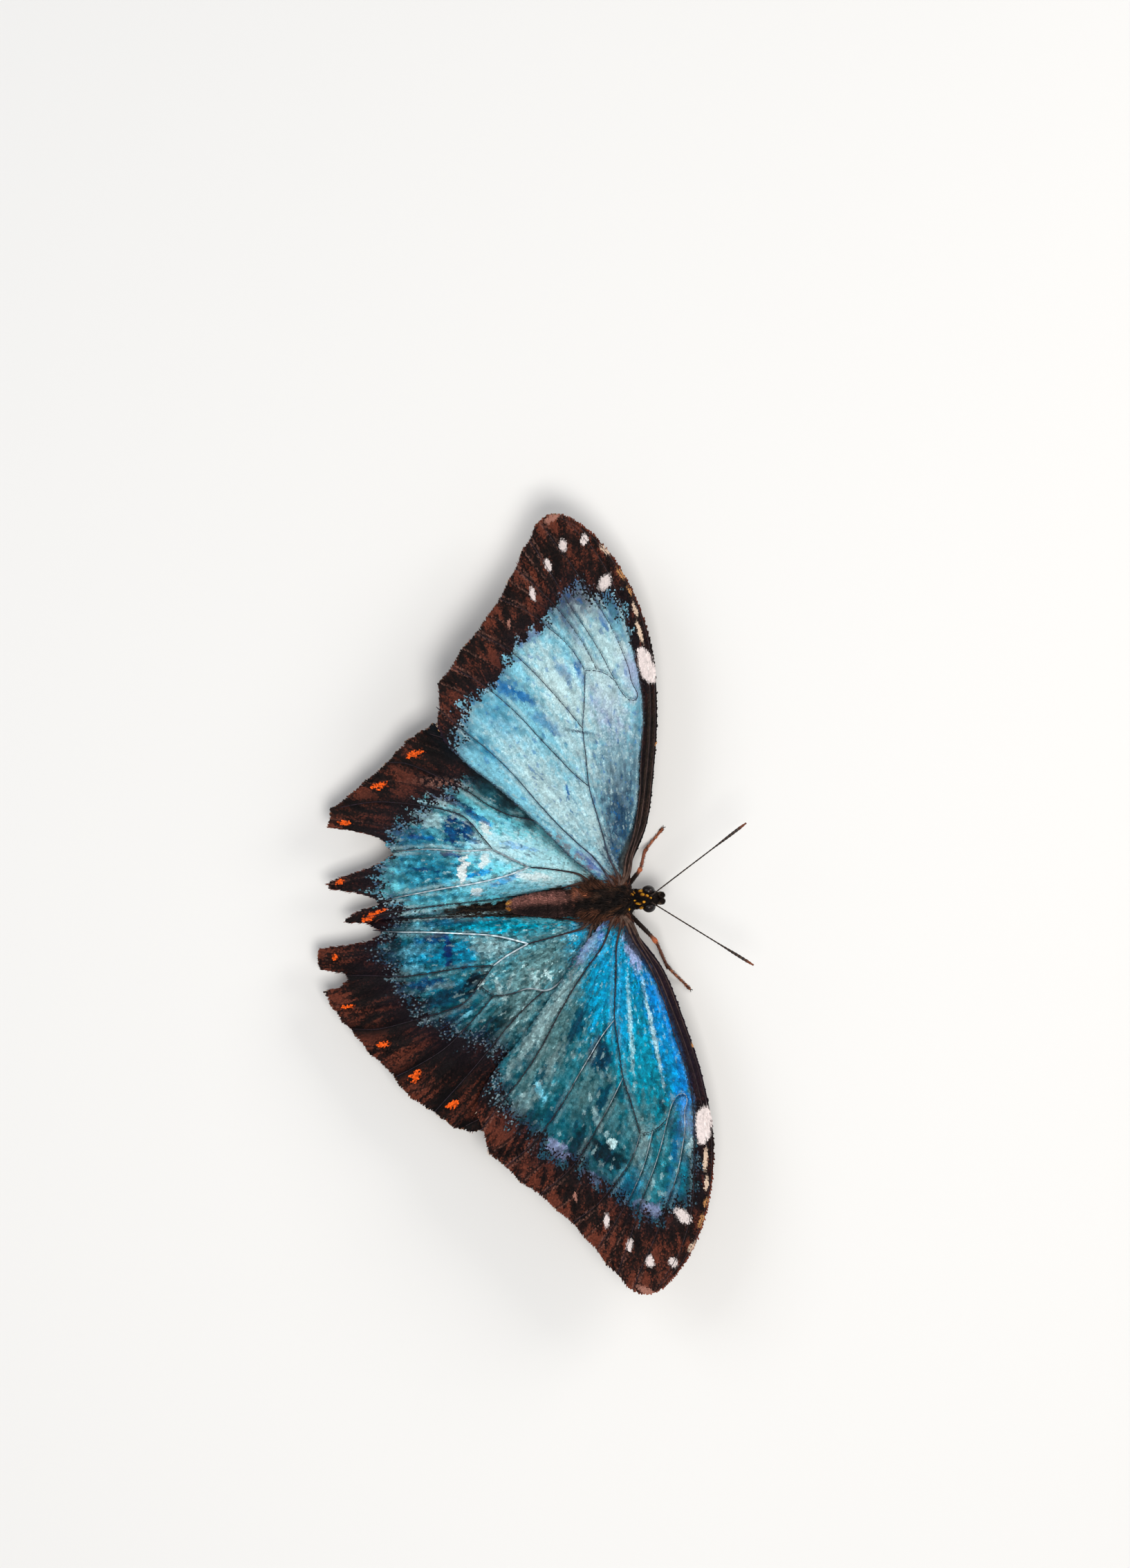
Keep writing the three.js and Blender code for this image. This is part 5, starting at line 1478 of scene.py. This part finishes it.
# Marks of the back, seen from above: colour, x, y, half length, half width, turn, strength, edge.
BACK_MARKS = [
    (paint(96, 62, 42), 0.4, -1.3, 1.9, 0.2, 28, 0.7, 0.7),
    (paint(90, 60, 42), 0.6, 1.6, 1.7, 0.2, -16, 0.5, 0.7),
    (paint(50, 37, 31), -0.8, 1.1, 1.2, 0.4, 0, 0.6, 0.8),
    (paint(104, 64, 46), -3, -1.6, 0.9, 0.35, 5, 0.8, 0.6),
    # Warm brown fur of the left shoulder, painted lighter as a highlight.
    (paint(140, 82, 58), -4.6, 1.4, 1.2, 0.5, -8, 0.97, 0.6),
    (paint(118, 74, 54), -5.3, -1.4, 0.5, 0.5, 0, 0.8, 0.5),
    (paint(128, 78, 58), -6.2, 0.8, 0.5, 1.3, 0, 0.95, 0.6),
    (paint(12, 10, 10), -5.8, -0.3, 0.7, 0.9, 0, 0.95, 0.5),
    (paint(34, 24, 21), -7.7, 0.2, 0.8, 1.6, 0, 0.97, 0.5),
    # Painted light and shade: the abdomen's right half is darkened and its left half lit.
    (paint(30, 22, 21), -12, -0.85, 5.8, 1.15, 0, 0.95, 0.6),
    (paint(44, 31, 29), -11.6, -2, 5.4, 0.6, 1, 0.8, 0.7),
    (paint(146, 98, 88), -12.6, 0.9, 5, 0.7, -2, 0.85, 0.8),
    (paint(146, 98, 90), -15.6, 0.5, 1.6, 0.7, 0, 0.6, 0.8),
    (paint(200, 136, 60), -17.3, 0.6, 0.5, 0.4, 0, 0.9, 0.5),
    (paint(180, 116, 46), -17.4, -0.6, 0.4, 0.3, 0, 0.9, 0.5),
    (paint(15, 13, 13), 1.2, 0.5, 1.7, 1.2, 0, 0.75, 0.7),
]


def body_colours(x, angle):
    """Near-black thorax and head, mauve-brown abdomen; marks on the back, among them a painted highlight
    on the thorax's left shoulder and painted light and shade on the abdomen's two halves; and a paler
    belly.
    """
    flat = np.stack([x, angle * 2], axis=-1)
    abdomen = mix(paint(108, 72, 66), paint(66, 43, 38), step(mottle(flat, 1.3, 91), -0.4, 1.4))
    bands = bell(x[:, None] - RING_EDGES, 0.3).sum(-1)
    abdomen = mix(abdomen, paint(40, 26, 24), 0.65 * bands)
    thorax = mix(paint(27, 21, 18), paint(62, 43, 33), step(mottle(flat, 0.9, 92), 0.0, 1.6))
    colour = mix(abdomen, thorax, step(x, -8.2, -6.4))
    plan = body_surface(x, angle)[:, :2]
    above = step(np.sin(angle), -0.1, 0.3)
    for seed, (tint, *oval, strength, edge) in enumerate(BACK_MARKS):
        reach = np.sqrt(ellipse(plan, *oval)) + 0.15 * mottle(plan, 0.5, 300 + seed)
        colour = mix(colour, tint, above * strength * step(1 - reach, -edge, edge))
    belly = step(-np.sin(angle), 0.2, 0.8)
    colour = mix(colour, paint(120, 92, 70), 0.6 * belly)
    return mix(colour, paint(18, 14, 13), step(x, 2.2, 3.0) * (1 - 0.6 * belly))


STATIONS, AROUND = 260, 72
x = np.linspace(BODY_ENDS[0] + 0.02, BODY_ENDS[1] - 0.02, STATIONS)
angle = np.linspace(0, 2 * np.pi, AROUND, endpoint=False)
grid_x, grid_angle = (g.ravel() for g in np.meshgrid(x, angle, indexing="ij"))
tail = [BODY_CURVE[0, 0], 0, BODY_CURVE[0, 1]]
nose = [BODY_CURVE[-1, 0], 0, BODY_CURVE[-1, 1]]
skin_points = np.vstack([body_surface(grid_x, grid_angle), tail, nose])
skin_faces = [grid_faces(STATIONS, AROUND, around=True)[:, ::-1],
              end_caps(STATIONS, AROUND)[:, [0, 2, 1]]]
skin_shade = body_colours(np.append(grid_x, BODY_ENDS), np.append(grid_angle, [0.0, 0.0])) * 0.7
add_piece("body_skin", skin_points, skin_faces, skin_shade, BODY_SKIN,
          stands_for=["thorax", "abdomen", "head"])

# %% [markdown]
# ## Fur
#
# The thorax holds the flight muscles and is the furriest part: its locks are about a millimetre
# long and swept back, longest at the shoulders. The abdomen's are half as long and lie flat. On the
# head they are shortest, and stop at the eyes.

# %% Fur of the thorax, abdomen and head
def fur(name, span, count, length, width, stand, seed, lighter=1.0, bare=None):
    """Locks spread evenly over a stretch of the skin, pointing back with a little disorder."""
    rng = np.random.default_rng(seed)
    x = rng.uniform(*span, count)
    angle = rng.uniform(0, 2 * np.pi, count)
    if bare is not None:
        keep = ~bare(x, angle)
        x, angle = x[keep], angle[keep]
    here, back, out = body_axes(x, angle)
    along = back + rng.normal(0, 0.22, (len(x), 3))
    shoulder = 1 + 0.5 * (1 - np.abs(np.sin(angle))) * bell(x - 0.5, 2.2)
    colour = body_colours(x, angle) * (lighter * np.exp(rng.normal(0, 0.45, len(x))))[:, None]
    low, high = BODY_ENDS
    spots = unrolled((x - low) / (high - low), angle)
    size = rng.uniform(*length, len(x)) * shoulder
    add_locks(name, here, along, out, size, width, rng.uniform(*stand, len(x)), colour, spots)


def near_eye(x, angle):
    """True where the skin lies behind an eye."""
    point = body_surface(x, angle)
    reach = (np.abs(point) - EYE) / EYE_RADII
    return (reach[:, 0] ** 2 + reach[:, 2] ** 2 < 1.0) & (np.abs(point[:, 1]) > 0.4)


fur("thorax_fur", (-6.4, 3.0), 11000, (0.7, 1.4), 0.06, (0.25, 0.8), 601)
fur("abdomen_fur", (-17.6, -5.6), 12000, (0.35, 0.7), 0.05, (0.12, 0.35), 602)
fur("head_fur", (3.0, 6.6), 4200, (0.25, 0.5), 0.04, (0.4, 0.9), 603, bare=near_eye)

# %% [markdown]
# The face has its own brush of longer locks. They point forwards and spread between the eyes, so
# that from above the head ends in a round, soft outline. The longest tufts of all grow on the
# thorax's sides and close the gaps between the wing roots.

# %% Brush of the face and tufts of the shoulders
def face_brush(count, seed):
    """Locks from a disc on the front of the head, fanned out from its middle."""
    rng = np.random.default_rng(seed)
    disc = unit(rng.normal(0, 1, (count, 2))) * np.sqrt(rng.uniform(0, 1, (count, 1)))
    y, z = disc[:, 0] * 0.95, 7.55 + disc[:, 1] * 0.85
    x = 6.45 - 0.75 * (disc**2).sum(1)
    roots = np.stack([x, y, z], axis=1)
    out = unit(np.stack([np.full(count, 0.9), disc[:, 0] * 1.0, disc[:, 1] * 0.9], axis=1))
    along = out + rng.normal(0, 0.2, (count, 3))
    lift = unit(np.cross(along, np.cross([0.0, 0.0, 1.0], along)))
    colour = paint(26, 19, 16) * np.exp(rng.normal(0, 0.5, count))[:, None]
    spots = 0.5 + 0.45 * disc
    add_locks("face_brush", roots, along, lift, rng.uniform(0.5, 1.0, count), 0.045, 0.2, colour, spots)


face_brush(1500, 604)


def shoulder_tufts(count, seed):
    """Long locks from the thorax's sides, out and back over the gap between the wing roots."""
    rng = np.random.default_rng(seed)
    x, up = rng.uniform(-4.6, -1.4, count), rng.uniform(-0.1, 0.7, count)
    here, back, out = body_axes(x, np.where(rng.uniform(0, 1, count) < 0.5, up, np.pi - up))
    along = out * [1, 1, 0.4] + back * rng.uniform(0.2, 0.8, (count, 1))
    along = along + rng.normal(0, 0.15, (count, 3))
    lift = unit(np.cross(along, np.cross([0.0, 0.0, 1.0], along)))
    tint = mix(paint(34, 23, 18), paint(112, 70, 50), rng.uniform(0, 1, count) ** 1.3)
    spots = np.stack([0.5 + 0.1 * x, 0.5 + 0.3 * up], axis=1)
    add_locks("shoulder_tufts", here, along, lift, rng.uniform(1.3, 2.2, count), 0.06, 0.2, tint, spots)


shoulder_tufts(900, 605)

# %% [markdown]
# ## Golden spots of the crown and collar
#
# Little cushions of golden scales stand out on the black head and on the collar behind it. Each is
# a fan of short glossy locks round one point of the skin.

# %% Golden spots
# x, angle round the body in degrees (90 is the top), half length, half width
GOLD_SPOTS = [(3.1, 32, 0.42, 0.26), (4.35, 38, 0.32, 0.26), (4.65, 64, 0.34, 0.26),
              (5.25, 72, 0.24, 0.2), (2.65, 60, 0.26, 0.2), (3.9, 116, 0.6, 0.22),
              (4.8, 104, 0.2, 0.18), (2.1, 136, 0.24, 0.2), (3.3, 96, 0.2, 0.16),
              (5.7, 84, 0.2, 0.16), (4.4, 146, 0.3, 0.2)]


def gold_spots(each, seed):
    """Short locks in an oval round each spot's middle, paler towards its centre and darkened on one side
    by painted shade.
    """
    rng = np.random.default_rng(seed)
    rows = np.repeat(np.array(GOLD_SPOTS), each, axis=0)
    disc = unit(rng.normal(0, 1, (len(rows), 2))) * np.sqrt(rng.uniform(0, 1, (len(rows), 1)))
    x = rows[:, 0] + disc[:, 0] * rows[:, 2]
    angle = np.radians(rows[:, 1]) + disc[:, 1] * rows[:, 3] / 1.4
    here, back, out = body_axes(x, angle)
    reach = np.linalg.norm(disc, axis=1)
    shaded_side = step(-disc[:, 0] + 0.5 * disc[:, 1], -0.2, 0.9) * 0.8
    colour = mix(paint(214, 152, 38), paint(84, 44, 16),
                 np.clip(step(reach, 0.5, 1.0) + shaded_side, 0, 1))
    low, high = BODY_ENDS
    spots = unrolled((x - low) / (high - low), angle)
    lift = 0.26 * np.sqrt(np.maximum(0, 1 - reach**2))[:, None]
    add_locks("golden_spots", here + out * lift, back * 0.8 + out * 0.5, out, 0.3, 0.05, 0.5, colour,
              spots, tip=1.2)


gold_spots(110, 611)

# %% [markdown]
# ## Eyes
#
# A butterfly's eye is a ball of thousands of lenses. The ball is a closed grid of angles, and the
# lenses are tiny domes in the finish. It is dark brown, with a paler band that runs round it.

# %% Build both eyes
def ball(centre, radii, rows=40, columns=56):
    """A closed ellipsoid: centre + radii * (cos a sin b, cos b, sin a sin b), with poles on y."""
    b = np.linspace(0, np.pi, rows + 2)[1:-1, None]
    a = np.linspace(0, 2 * np.pi, columns, endpoint=False)[None]
    shell = np.stack([np.cos(a) * np.sin(b), np.broadcast_to(np.cos(b), (rows, columns)),
                      np.sin(a) * np.sin(b)], axis=-1).reshape(-1, 3)
    shell = np.vstack([shell, [0, 1, 0], [0, -1, 0]])
    faces = [grid_faces(rows, columns, around=True), end_caps(rows, columns)]
    return centre + shell * radii, faces, shell


for name, side in SIDES.items():
    points, faces, shell = ball(EYE * [1, side, 1], EYE_RADII)
    band = step(np.sin(shell[:, 2] * 7 + shell[:, 0] * 2), 0.2, 0.9)
    shade = mix(paint(13, 9, 9), paint(38, 22, 18), 0.6 * band)
    add_piece(f"eye_{name}_lens", points, faces, shade, EYE_LENS, stands_for=[f"eye_{name}"])

# %% [markdown]
# ## Feelers, palps and tongue
#
# The antenna is a chain of about forty short segments that ends in a slender club. Two palps curve
# up in front of the face like a moustache brush, and the tongue lies coiled like a watch spring
# under them. All three are tubes along a path with a radius that swells at every segment.

# %% Antennae
ANTENNA_ROOT = np.array([6.15, 0.75, 9.6])
ANTENNA_TIP = np.array([21.9, 11.6, 13.2])
ANTENNA_SEGMENTS = 40

for name, side in SIDES.items():
    t = np.linspace(0, 1, ANTENNA_SEGMENTS * 6 + 1)
    socket = np.array([5.95, 0.62, 8.9])
    path = smooth_line([socket, ANTENNA_ROOT, ANTENNA_ROOT + (ANTENNA_TIP - ANTENNA_ROOT) * 0.3,
                        ANTENNA_ROOT + (ANTENNA_TIP - ANTENNA_ROOT) * 0.65, ANTENNA_TIP], 60)
    path = np.stack([np.interp(t, np.linspace(0, 1, len(path)), path[:, k]) for k in range(3)], axis=1)
    club = step(t, 0.72, 0.9) * (1 - 0.75 * step(t, 0.95, 1.0))
    beads = 1 + 0.1 * np.cos(t * ANTENNA_SEGMENTS * 2 * np.pi)
    foot = 0.12 * np.exp(-t / 0.02)
    radius = (0.112 + 0.13 * club + foot) * beads
    points, faces, station = tube(path * [1, side, 1], radius, radius, sides=12)
    joint = step(np.cos(t * ANTENNA_SEGMENTS * 2 * np.pi), -0.9, -0.3)
    shade = mix(paint(84, 66, 52), paint(32, 22, 20), joint)
    shade = mix(shade, paint(120, 58, 28), 0.7 * step(t, 0.93, 0.98))
    add_piece(f"antenna_{name}_segments", points, faces, shade[station], HORN,
              stands_for=[f"antenna_{name}"])

# %% Palps with their scales
PALP = [[6.3, 0.5, 6.25], [6.75, 0.5, 6.2], [7.2, 0.52, 6.6], [7.55, 0.52, 7.2], [7.68, 0.48, 8],
        [7.62, 0.45, 8.7]]


def palp_line(steps=12):
    """The palp's path and its radius at each station."""
    path = smooth_line(PALP, steps)
    t = np.linspace(0, 1, len(path))
    swell = 0.12 + 0.17 * np.sin(np.pi * np.clip(t * 0.9 + 0.08, 0, 1))
    return path, swell * np.sqrt(1.02 - t**10), t


for name, side in SIDES.items():
    path, radius, t = palp_line()
    points, faces, station = tube(path * [1, side, 1], radius, radius, sides=14, up=(0, 1, 0))
    shade = np.broadcast_to(paint(44, 30, 22), (len(points), 3))
    add_piece(f"palp_{name}_core", points, faces, shade, BODY_SKIN, stands_for=[f"palp_{name}"])
    rng = np.random.default_rng(620)
    pick = np.minimum(rng.integers(2, len(path) + 6, 1300), len(path) - 1)
    turn = rng.uniform(0, 2 * np.pi, len(pick))
    along = unit(np.gradient(path, axis=0))[pick]
    aside = unit(np.cross(along, [0.0, 1.0, 0.0]))
    out = aside * np.cos(turn)[:, None] + np.array([0.0, 1.0, 0.0]) * np.sin(turn)[:, None]
    roots = path[pick] + out * radius[pick][:, None]
    stripe = step(np.cos(turn - 0.6), 0.8, 0.95) * step(0.9 - t[pick], 0, 0.1)
    colour = mix(paint(30, 21, 18), paint(98, 80, 64), stripe)
    spots = unrolled(t[pick], turn)
    mirror = np.array([1, side, 1])
    lean = along + (0.75 - 0.5 * step(t[pick], 0.8, 1.0))[:, None] * out
    size = rng.uniform(0.25, 0.5, len(pick))
    add_locks(f"palp_{name}_scales", roots * mirror, lean * mirror, out * mirror, size, 0.045, 0.4,
              colour, spots, "palp")

# %% Tongue
COIL_CENTRE = np.array([5.5, 4.55])
COIL_START, COIL_TURNS = 1.35, 1.15          # where the coil begins, in radians, and its turns
COIL_OUTER, COIL_INNER = 1.32, 0.42          # radius at its start and at its end
turns = np.linspace(0, 1, 220)
coil_angle = COIL_START - turns * COIL_TURNS * 2 * np.pi
coil_radius = COIL_OUTER + (COIL_INNER - COIL_OUTER) * turns
coil = np.stack([COIL_CENTRE[0] + coil_radius * np.cos(coil_angle), np.zeros(len(turns)),
                 COIL_CENTRE[1] + coil_radius * np.sin(coil_angle)], axis=1)
lead = smooth_line([[6.1, 0, 6.5], [5.95, 0, 6.2], coil[0]], 10)[:-1]
path = np.vstack([lead, coil])
t = np.linspace(0, 1, len(path))
radius = (0.24 - 0.1 * t) * (1 + 0.05 * np.cos(t * 90 * 2 * np.pi))
points, faces, station = tube(path, radius, radius * 0.8, sides=12, up=(0, 1, 0))
shade = mix(paint(92, 52, 26), paint(40, 22, 14), t)
add_piece("tongue_coil", points, faces, shade[station], HORN, stands_for=["tongue"])

# %% [markdown]
# ## Legs
#
# A leg has a thick thigh, a bright orange knee, a spiny shin and a foot of five short segments with
# two claws. Each is one tube whose radius swells at the joints. The four walking legs stand on the
# floor, and the front pair is small and folded against the breast, as in all of this family.

# %% Build the legs
TOE_Z = 0.16
LEGS = {
    "midleg_left": [[1.3, 1.2, 5], [4.3, 4.8, 7.3], [5.3, 7.8, 2], [8.5, 11.4, TOE_Z]],
    "midleg_right": [[1.3, 1.2, 5], [6.2, 6.9, 6.9], [8, 11.4, 2], [11.6, 15.4, TOE_Z]],
    "hindleg_left": [[-1.9, 1.2, 4.95], [-6, 5.4, 5], [-10.2, 8.6, 1.6], [-14, 11.2, TOE_Z]],
    "hindleg_right": [[-1.9, 1.2, 4.95], [-5.6, 5.8, 5], [-9.2, 9.6, 1.6], [-12.6, 12.8, TOE_Z]],
    "foreleg_left": [[2.4, 1.3, 5.3], [3.3, 1.35, 4.9], [4.3, 1.3, 5], [4.9, 1.2, 5.4]],
    "foreleg_right": [[2.4, 1.3, 5.3], [3.3, 1.35, 4.9], [4.3, 1.3, 5], [4.9, 1.2, 5.4]],
}


def leg_path(joints):
    """Stations along hip, thigh, knee, shin, ankle and foot, and the share of the way at each.

    The corners are rounded a little: each joint is two points a twelfth of a segment apart."""
    hip, knee, ankle, toe = (np.array(j, float) for j in joints)
    inner = hip + (np.array([hip[0] * 0.9, 0.5, 6.4]) - hip)
    heel = ankle + (toe - ankle) * 0.72
    heel[2] = min(toe[2], heel[2])
    corners = [inner, hip, knee - (knee - hip) * 0.08, knee + (ankle - knee) * 0.06,
               ankle - (ankle - knee) * 0.05, ankle + (heel - ankle) * 0.08, heel, toe]
    part = [0.0, 0.08, 0.38, 0.42, 0.7, 0.74, 0.92, 1.0]
    line = smooth_line(np.column_stack([np.array(corners), part]), 14)
    return line[:, :3], np.clip(line[:, 3], 0, 1)


def foot_wave(t):
    """A wave that rises once at each of the foot's five segments."""
    return np.cos((t - 0.72) / 0.28 * 5 * 2 * np.pi)


def leg_radius(t):
    """Thick thigh, swollen knee, thinner shin and a foot of five beads."""
    thigh = 0.36 * (1 - step(t, 0.3, 0.42)) + 0.235 * step(t, 0.3, 0.42)
    knee = 0.09 * bell(t - 0.4, 0.02)
    foot = -0.06 * step(t, 0.7, 0.76)
    beads = 0.03 * foot_wave(t) * step(t, 0.7, 0.74)
    return thigh + knee + foot + beads


def leg_shade(t, warm):
    """Dark thigh, orange knee, shin from dark (warm 0) to orange-brown (warm 1), ringed foot.

    A negative warm is the front pair: brown hair all over."""
    if warm < 0:
        return mix(paint(34, 24, 19), paint(86, 62, 46), step(t, 0.3, 1.0))
    shin = mix(paint(54, 34, 26), paint(146, 80, 54), warm)
    colour = mix(paint(30, 19, 15), shin, step(t, 0.42, 0.48))
    colour = mix(colour, paint(182, 104, 68), bell(t - 0.4, 0.026))
    colour = mix(colour, paint(120, 66, 46), step(t, 0.7, 0.76) * (1 - warm) * 0.8)
    ring = step(foot_wave(t), 0.2, 0.8) * step(t, 0.7, 0.74)
    return mix(colour, paint(186, 118, 80), 0.6 * ring)


def leg_spines(path, t, radius, small, warm, seed):
    """Spines and scales along the leg, in the order in which add_locks takes them."""
    rng = np.random.default_rng(seed)
    count = 420 if small else 900
    pick = rng.integers(6, len(path) - 3, count)
    turn = rng.uniform(0, 2 * np.pi, count)
    along = unit(np.gradient(path, axis=0))[pick]
    aside = unit(np.cross(along, [0.0, 0.0, 1.0]))
    above = np.cross(aside, along)
    out = aside * np.cos(turn)[:, None] + above * np.sin(turn)[:, None]
    roots = path[pick] + out * radius[pick][:, None] * 0.95
    spine = (t[pick] > 0.42) & (rng.uniform(0, 1, count) < 0.22)
    length = np.where(spine, 0.5, 0.24) * (1.6 if small else 1.0)
    colour = leg_shade(t[pick], warm) * rng.uniform(0.6, 1.5, count)[:, None]
    colour = np.where(spine[:, None], paint(30, 18, 14), colour)
    spots = unrolled(t[pick], turn)
    keep = (roots + along * length[:, None] * 0.9 + out * 0.15)[:, 2] > 0.03
    width, stand = np.where(spine, 0.035, 0.045), np.full(count, 0.8)
    return [v[keep] for v in (roots, along, out, length, width, stand, colour, spots)]


def claws(path, mirror):
    """Two small hooks at the toe: quarter circles that reach forwards, apart and down."""
    along = unit(path[-1] - path[-5])
    aside = unit(np.cross(along, [0.0, 0.0, 1.0]))
    bend = np.linspace(0, np.pi / 2, 8)[:, None]
    parts = []
    for sign in (-1.0, 1.0):
        hook = path[-1] + 0.42 * np.sin(bend) * along + sign * 0.24 * np.sin(bend) * aside
        hook = hook + [0, 0, 0.1] * np.sin(bend * 2) - [0, 0, 0.1] * (1 - np.cos(bend))
        thick = np.linspace(0.075, 0.02, 8)
        points, faces, _ = tube(hook * mirror, thick, thick, 8)
        points[:, 2] = np.maximum(points[:, 2], 0.0)
        parts.append((points, faces, np.broadcast_to(paint(24, 15, 12), (len(points), 3))))
    return gather(parts)


for number, (name, joints) in enumerate(LEGS.items()):
    mirror = np.array([1, SIDES[name.split("_")[1]], 1])
    small = name.startswith("foreleg")
    warm = -1.0 if small else 1.0 if name == "midleg_left" else 0.3
    path, t = leg_path(joints)
    radius = leg_radius(t) * (0.75 if small else 1.0)
    points, faces, station = tube(path * mirror, radius, radius, sides=14)
    points[:, 2] = np.maximum(points[:, 2], 0.0)
    add_piece(f"{name}_shell", points, faces, leg_shade(t, warm)[station], HORN,
              stands_for=[name])
    roots, along, out, *rest = leg_spines(path, t, radius, small, warm, 700 + number)
    add_locks(f"{name}_spines", roots * mirror, along * mirror, out * mirror, *rest, "leg")
    if not small:
        points, faces, shade = claws(path, mirror)
        add_piece(f"{name}_claws", points, faces, shade, HORN)

# %% [markdown]
# ## Floor, light and camera
#
# A museum would light the case softly from above. A broad lamp to the animal's right side adds a real
# sheen to the raised left wings, on top of their painted silver sheen, because they tilt towards it, and
# leaves the right wings their deeper blue. The camera looks straight down from far away, turned a little
# so that the body rises by three degrees towards the head.

# %% Floor
floor_mesh = bpy.data.meshes.new("floor")
reach = 1.5
corners = [(-reach, -reach, 0), (reach, -reach, 0), (reach, reach, 0), (-reach, reach, 0)]
floor_mesh.from_pydata(corners, [], [(0, 1, 2, 3)])
floor = bpy.data.objects.new("floor", floor_mesh)
bpy.context.scene.collection.objects.link(floor)
plaster = bpy.data.materials.new("pale_floor")
plaster.use_nodes = True
plaster.node_tree.nodes["Principled BSDF"].inputs["Base Color"].default_value = (0.74, 0.73, 0.71, 1)
plaster.node_tree.nodes["Principled BSDF"].inputs["Roughness"].default_value = 0.9
floor_mesh.materials.append(plaster)
print("floor", 2 * reach, "m wide")


# %% Lamps
def lamp(name, place, target, size, power, colour=(1, 1, 1)):
    """A square area lamp at a place, turned to face a target."""
    data = bpy.data.lights.new(name, "AREA")
    data.size, data.energy, data.color = size, power, colour
    thing = bpy.data.objects.new(name, data)
    thing.location = place
    away = np.array(place) - np.array(target)
    flat = math.hypot(away[0], away[1])
    thing.rotation_euler = (math.atan2(flat, away[2]), 0, math.atan2(away[0], -away[1]))
    bpy.context.scene.collection.objects.link(thing)


lamp("key", (0.05, -0.15, 0.62), (0, 0, 0.01), 0.24, 2.9, (1.0, 0.98, 0.95))
lamp("fill", (-0.45, 0.35, 0.50), (0, 0, 0.01), 0.4, 1.5, (0.92, 0.96, 1.0))
lamp("rim", (0.45, 0.25, 0.30), (0, 0, 0.01), 0.3, 1.4, (1.0, 0.98, 0.95))
world = bpy.data.worlds.new("studio")
world.use_nodes = True
world.node_tree.nodes["Background"].inputs["Color"].default_value = (0.9, 0.93, 1.0, 1)
world.node_tree.nodes["Background"].inputs["Strength"].default_value = 0.35
bpy.context.scene.world = world

# %% Camera
VIEW_MIDDLE = np.array([-7.24, 19.50, 10.0])  # body millimetres
VIEW_HEIGHT = 256.3                           # millimetres seen from bottom to top
LENS, SENSOR = 150.0, 36.0

camera_data = bpy.data.cameras.new("camera")
camera_data.lens, camera_data.sensor_width = LENS, SENSOR
camera = bpy.data.objects.new("camera", camera_data)
camera.location = to_frame(VIEW_MIDDLE + [0, 0, VIEW_HEIGHT * LENS / SENSOR])
camera.rotation_euler = (0, 0, math.radians(-3.0))
bpy.context.scene.collection.objects.link(camera)
bpy.context.scene.camera = camera
bpy.context.scene.view_settings.view_transform = "Standard"
print("camera at", [round(v, 3) for v in camera.location])

# %% Update the scene
bpy.context.view_layer.update()
